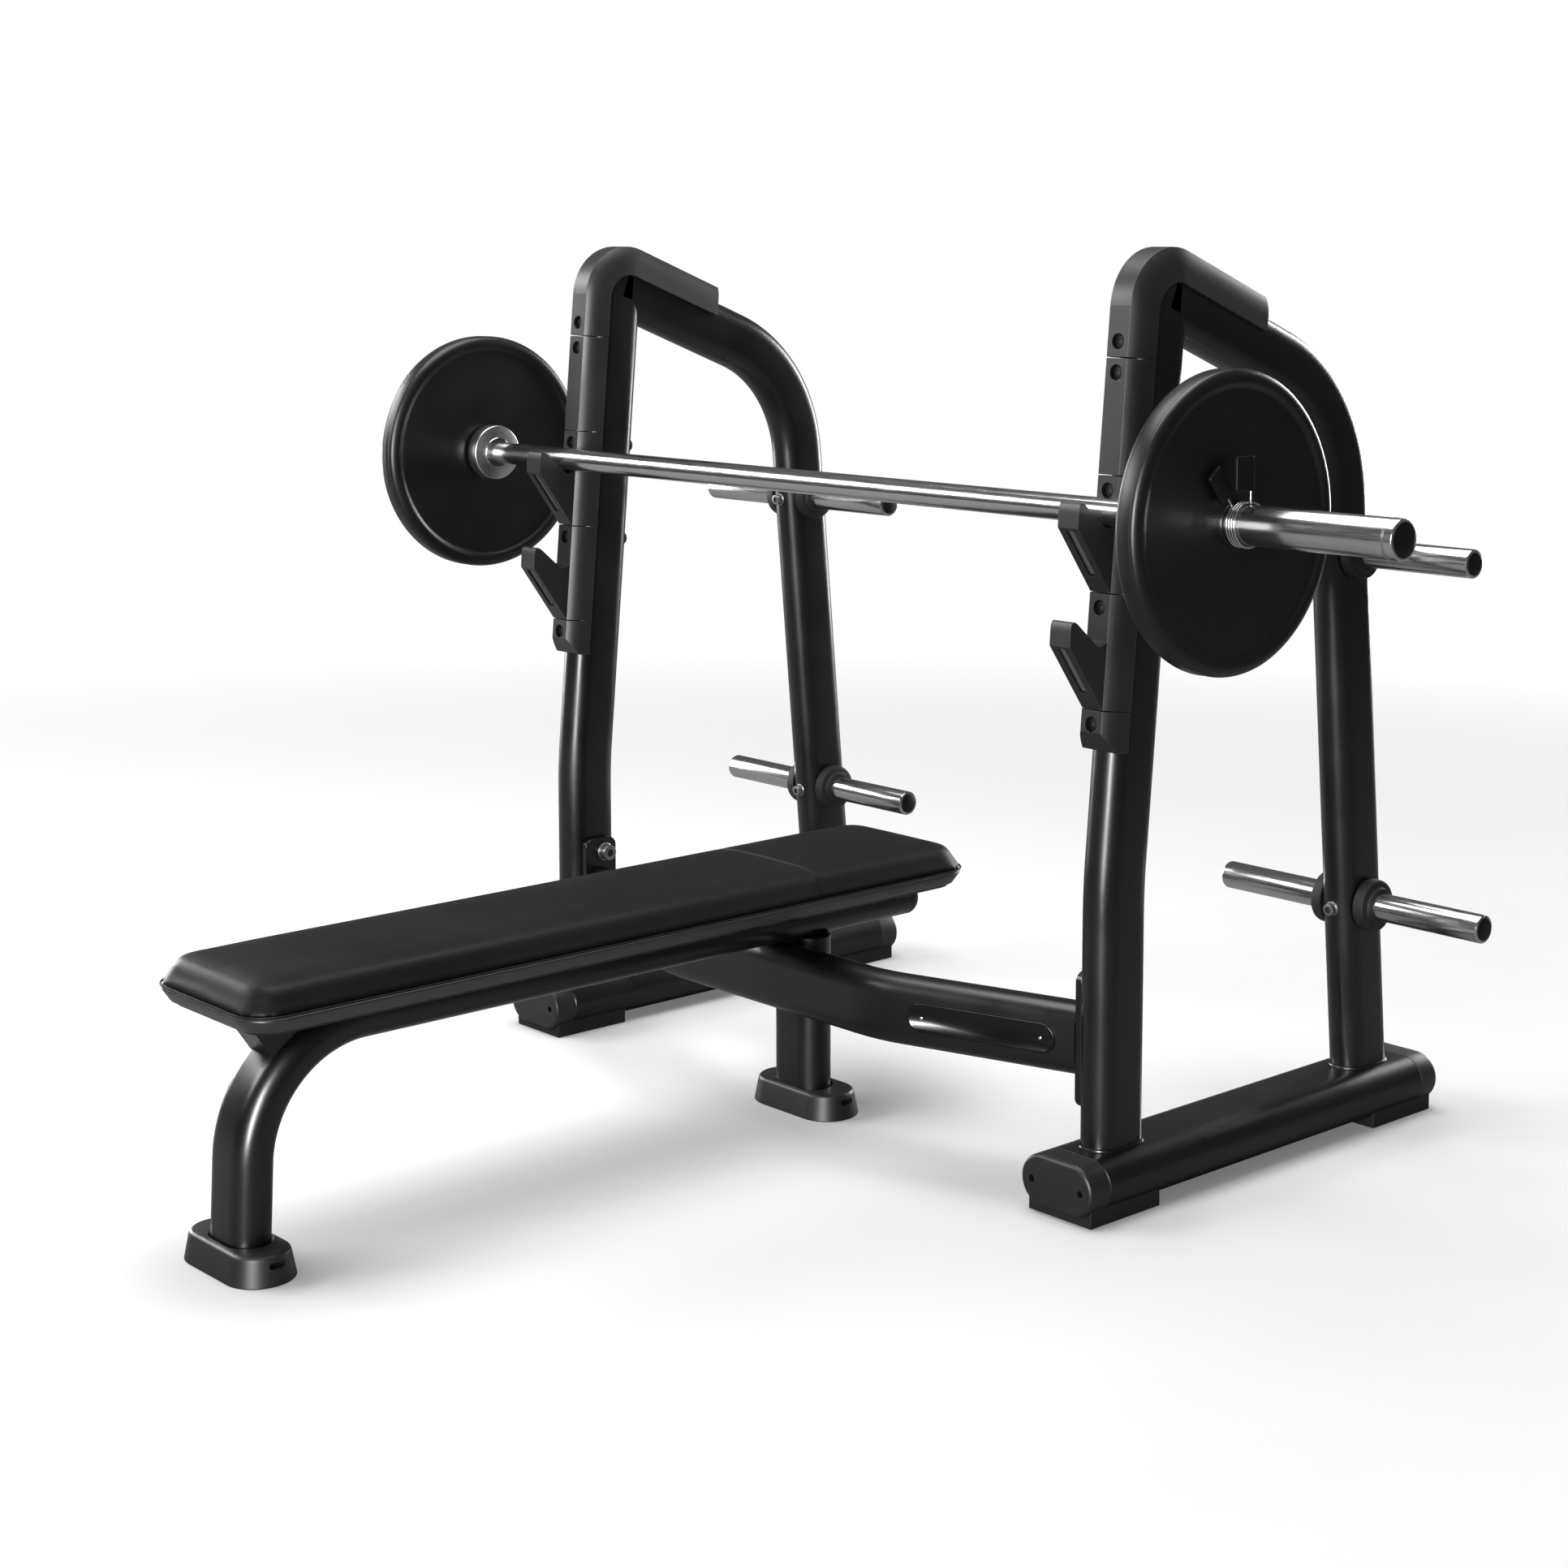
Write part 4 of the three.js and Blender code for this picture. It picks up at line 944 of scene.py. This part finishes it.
# ---- Floor, light and camera ----
def build_floor():
    size = 30
    mesh = bpy.data.meshes.new("studio_floor")
    corners = [(-size, -size, 0), (size, -size, 0), (size, size, 0), (-size, size, 0)]
    mesh.from_pydata(corners, [], [(0, 1, 2, 3)])
    floor = bpy.data.objects.new("studio_floor", mesh)
    bpy.context.scene.collection.objects.link(floor)
    n = Nodes("studio_floor")
    n.shader.inputs["Roughness"].default_value = 0.6
    n.shader.inputs["Specular IOR Level"].default_value = 0.2
    n.put(n.mix(n.spread(n.noise(3), 0, 1), grey(0.86), grey(0.88)), n.shader.inputs["Base Color"])
    away = n.add("ShaderNodeVectorMath", Vector=n.place)
    away.operation = "LENGTH"
    glow = n.add("ShaderNodeEmission", Color=(1, 1, 1, 1), Strength=1.0)
    blend = n.add("ShaderNodeMixShader")
    n.put(n.spread(away.outputs["Value"], 0.15, 1, 1.7, 4.5), blend.inputs[0])
    n.put(n.shader.outputs[0], blend.inputs[1])
    n.put(glow.outputs[0], blend.inputs[2])
    dim = n.add("ShaderNodeBsdfDiffuse", Color=grey(0.28))
    reflected = n.add("ShaderNodeMixShader")
    n.put(n.add("ShaderNodeLightPath").outputs["Is Glossy Ray"], reflected.inputs[0])
    n.put(blend.outputs[0], reflected.inputs[1])
    n.put(dim.outputs[0], reflected.inputs[2])
    n.put(reflected.outputs[0], n.tree.nodes["Material Output"].inputs["Surface"])
    mesh.materials.append(n.material)


def softbox(name, spot, target, size, power, lights_matt=True):
    data = bpy.data.lights.new(name, "AREA")
    data.shape, data.size, data.size_y, data.energy = "RECTANGLE", size[0], size[1], power
    light = bpy.data.objects.new(name, data)
    light.location = spot
    light.visible_camera = False
    light.visible_diffuse = lights_matt
    light.rotation_euler = (Vector(target) - Vector(spot)).to_track_quat("-Z", "Y").to_euler()
    bpy.context.scene.collection.objects.link(light)


def build_lights():
    world = bpy.data.worlds.new("studio")
    bpy.context.scene.world = world
    world.use_nodes = True
    tree = world.node_tree
    background = tree.nodes["Background"]
    background.inputs["Color"].default_value = (0.12, 0.12, 0.12, 1)
    seen = tree.nodes.new("ShaderNodeBackground")
    seen.inputs["Color"].default_value = (1, 1, 1, 1)
    path, blend = tree.nodes.new("ShaderNodeLightPath"), tree.nodes.new("ShaderNodeMixShader")
    tree.links.new(path.outputs["Is Camera Ray"], blend.inputs[0])
    tree.links.new(background.outputs[0], blend.inputs[1])
    tree.links.new(seen.outputs[0], blend.inputs[2])
    tree.links.new(blend.outputs[0], tree.nodes["World Output"].inputs["Surface"])
    softbox("overhead", (-0.2, 0.2, 4.6), (0, 0, 0.5), (3.8, 3.4), 235)
    softbox("high_left", (-3.3, -2.8, 2.9), (0, 0, 0.9), (3.8, 1.3), 190)
    softbox("front_strip", (3.0, -4.6, 1.5), (0.2, 0, 0.6), (0.6, 2.8), 560, False)
    softbox("back_left", (-5.4, -0.3, 1.5), (0, 0, 0.7), (1.2, 2.8), 230, False)
    softbox("back_right", (-0.3, 5.6, 1.5), (0, 0, 0.7), (1.2, 2.8), 230, False)


def build_camera():
    data = bpy.data.cameras.new("camera")
    camera = bpy.data.objects.new("camera", data)
    bpy.context.scene.collection.objects.link(camera)
    camera.location = (2.9018, -2.4148, 1.2617)
    camera.rotation_euler = (math.radians(90 - 6.396), 0, math.radians(47.706))
    data.sensor_width, data.lens = 36, 62.048
    data.shift_x, data.shift_y = -0.0354, -0.15
    bpy.context.scene.camera = camera


build_floor()
build_lights()
build_camera()
bpy.context.scene.view_settings.view_transform = "Standard"
bpy.context.view_layer.update()
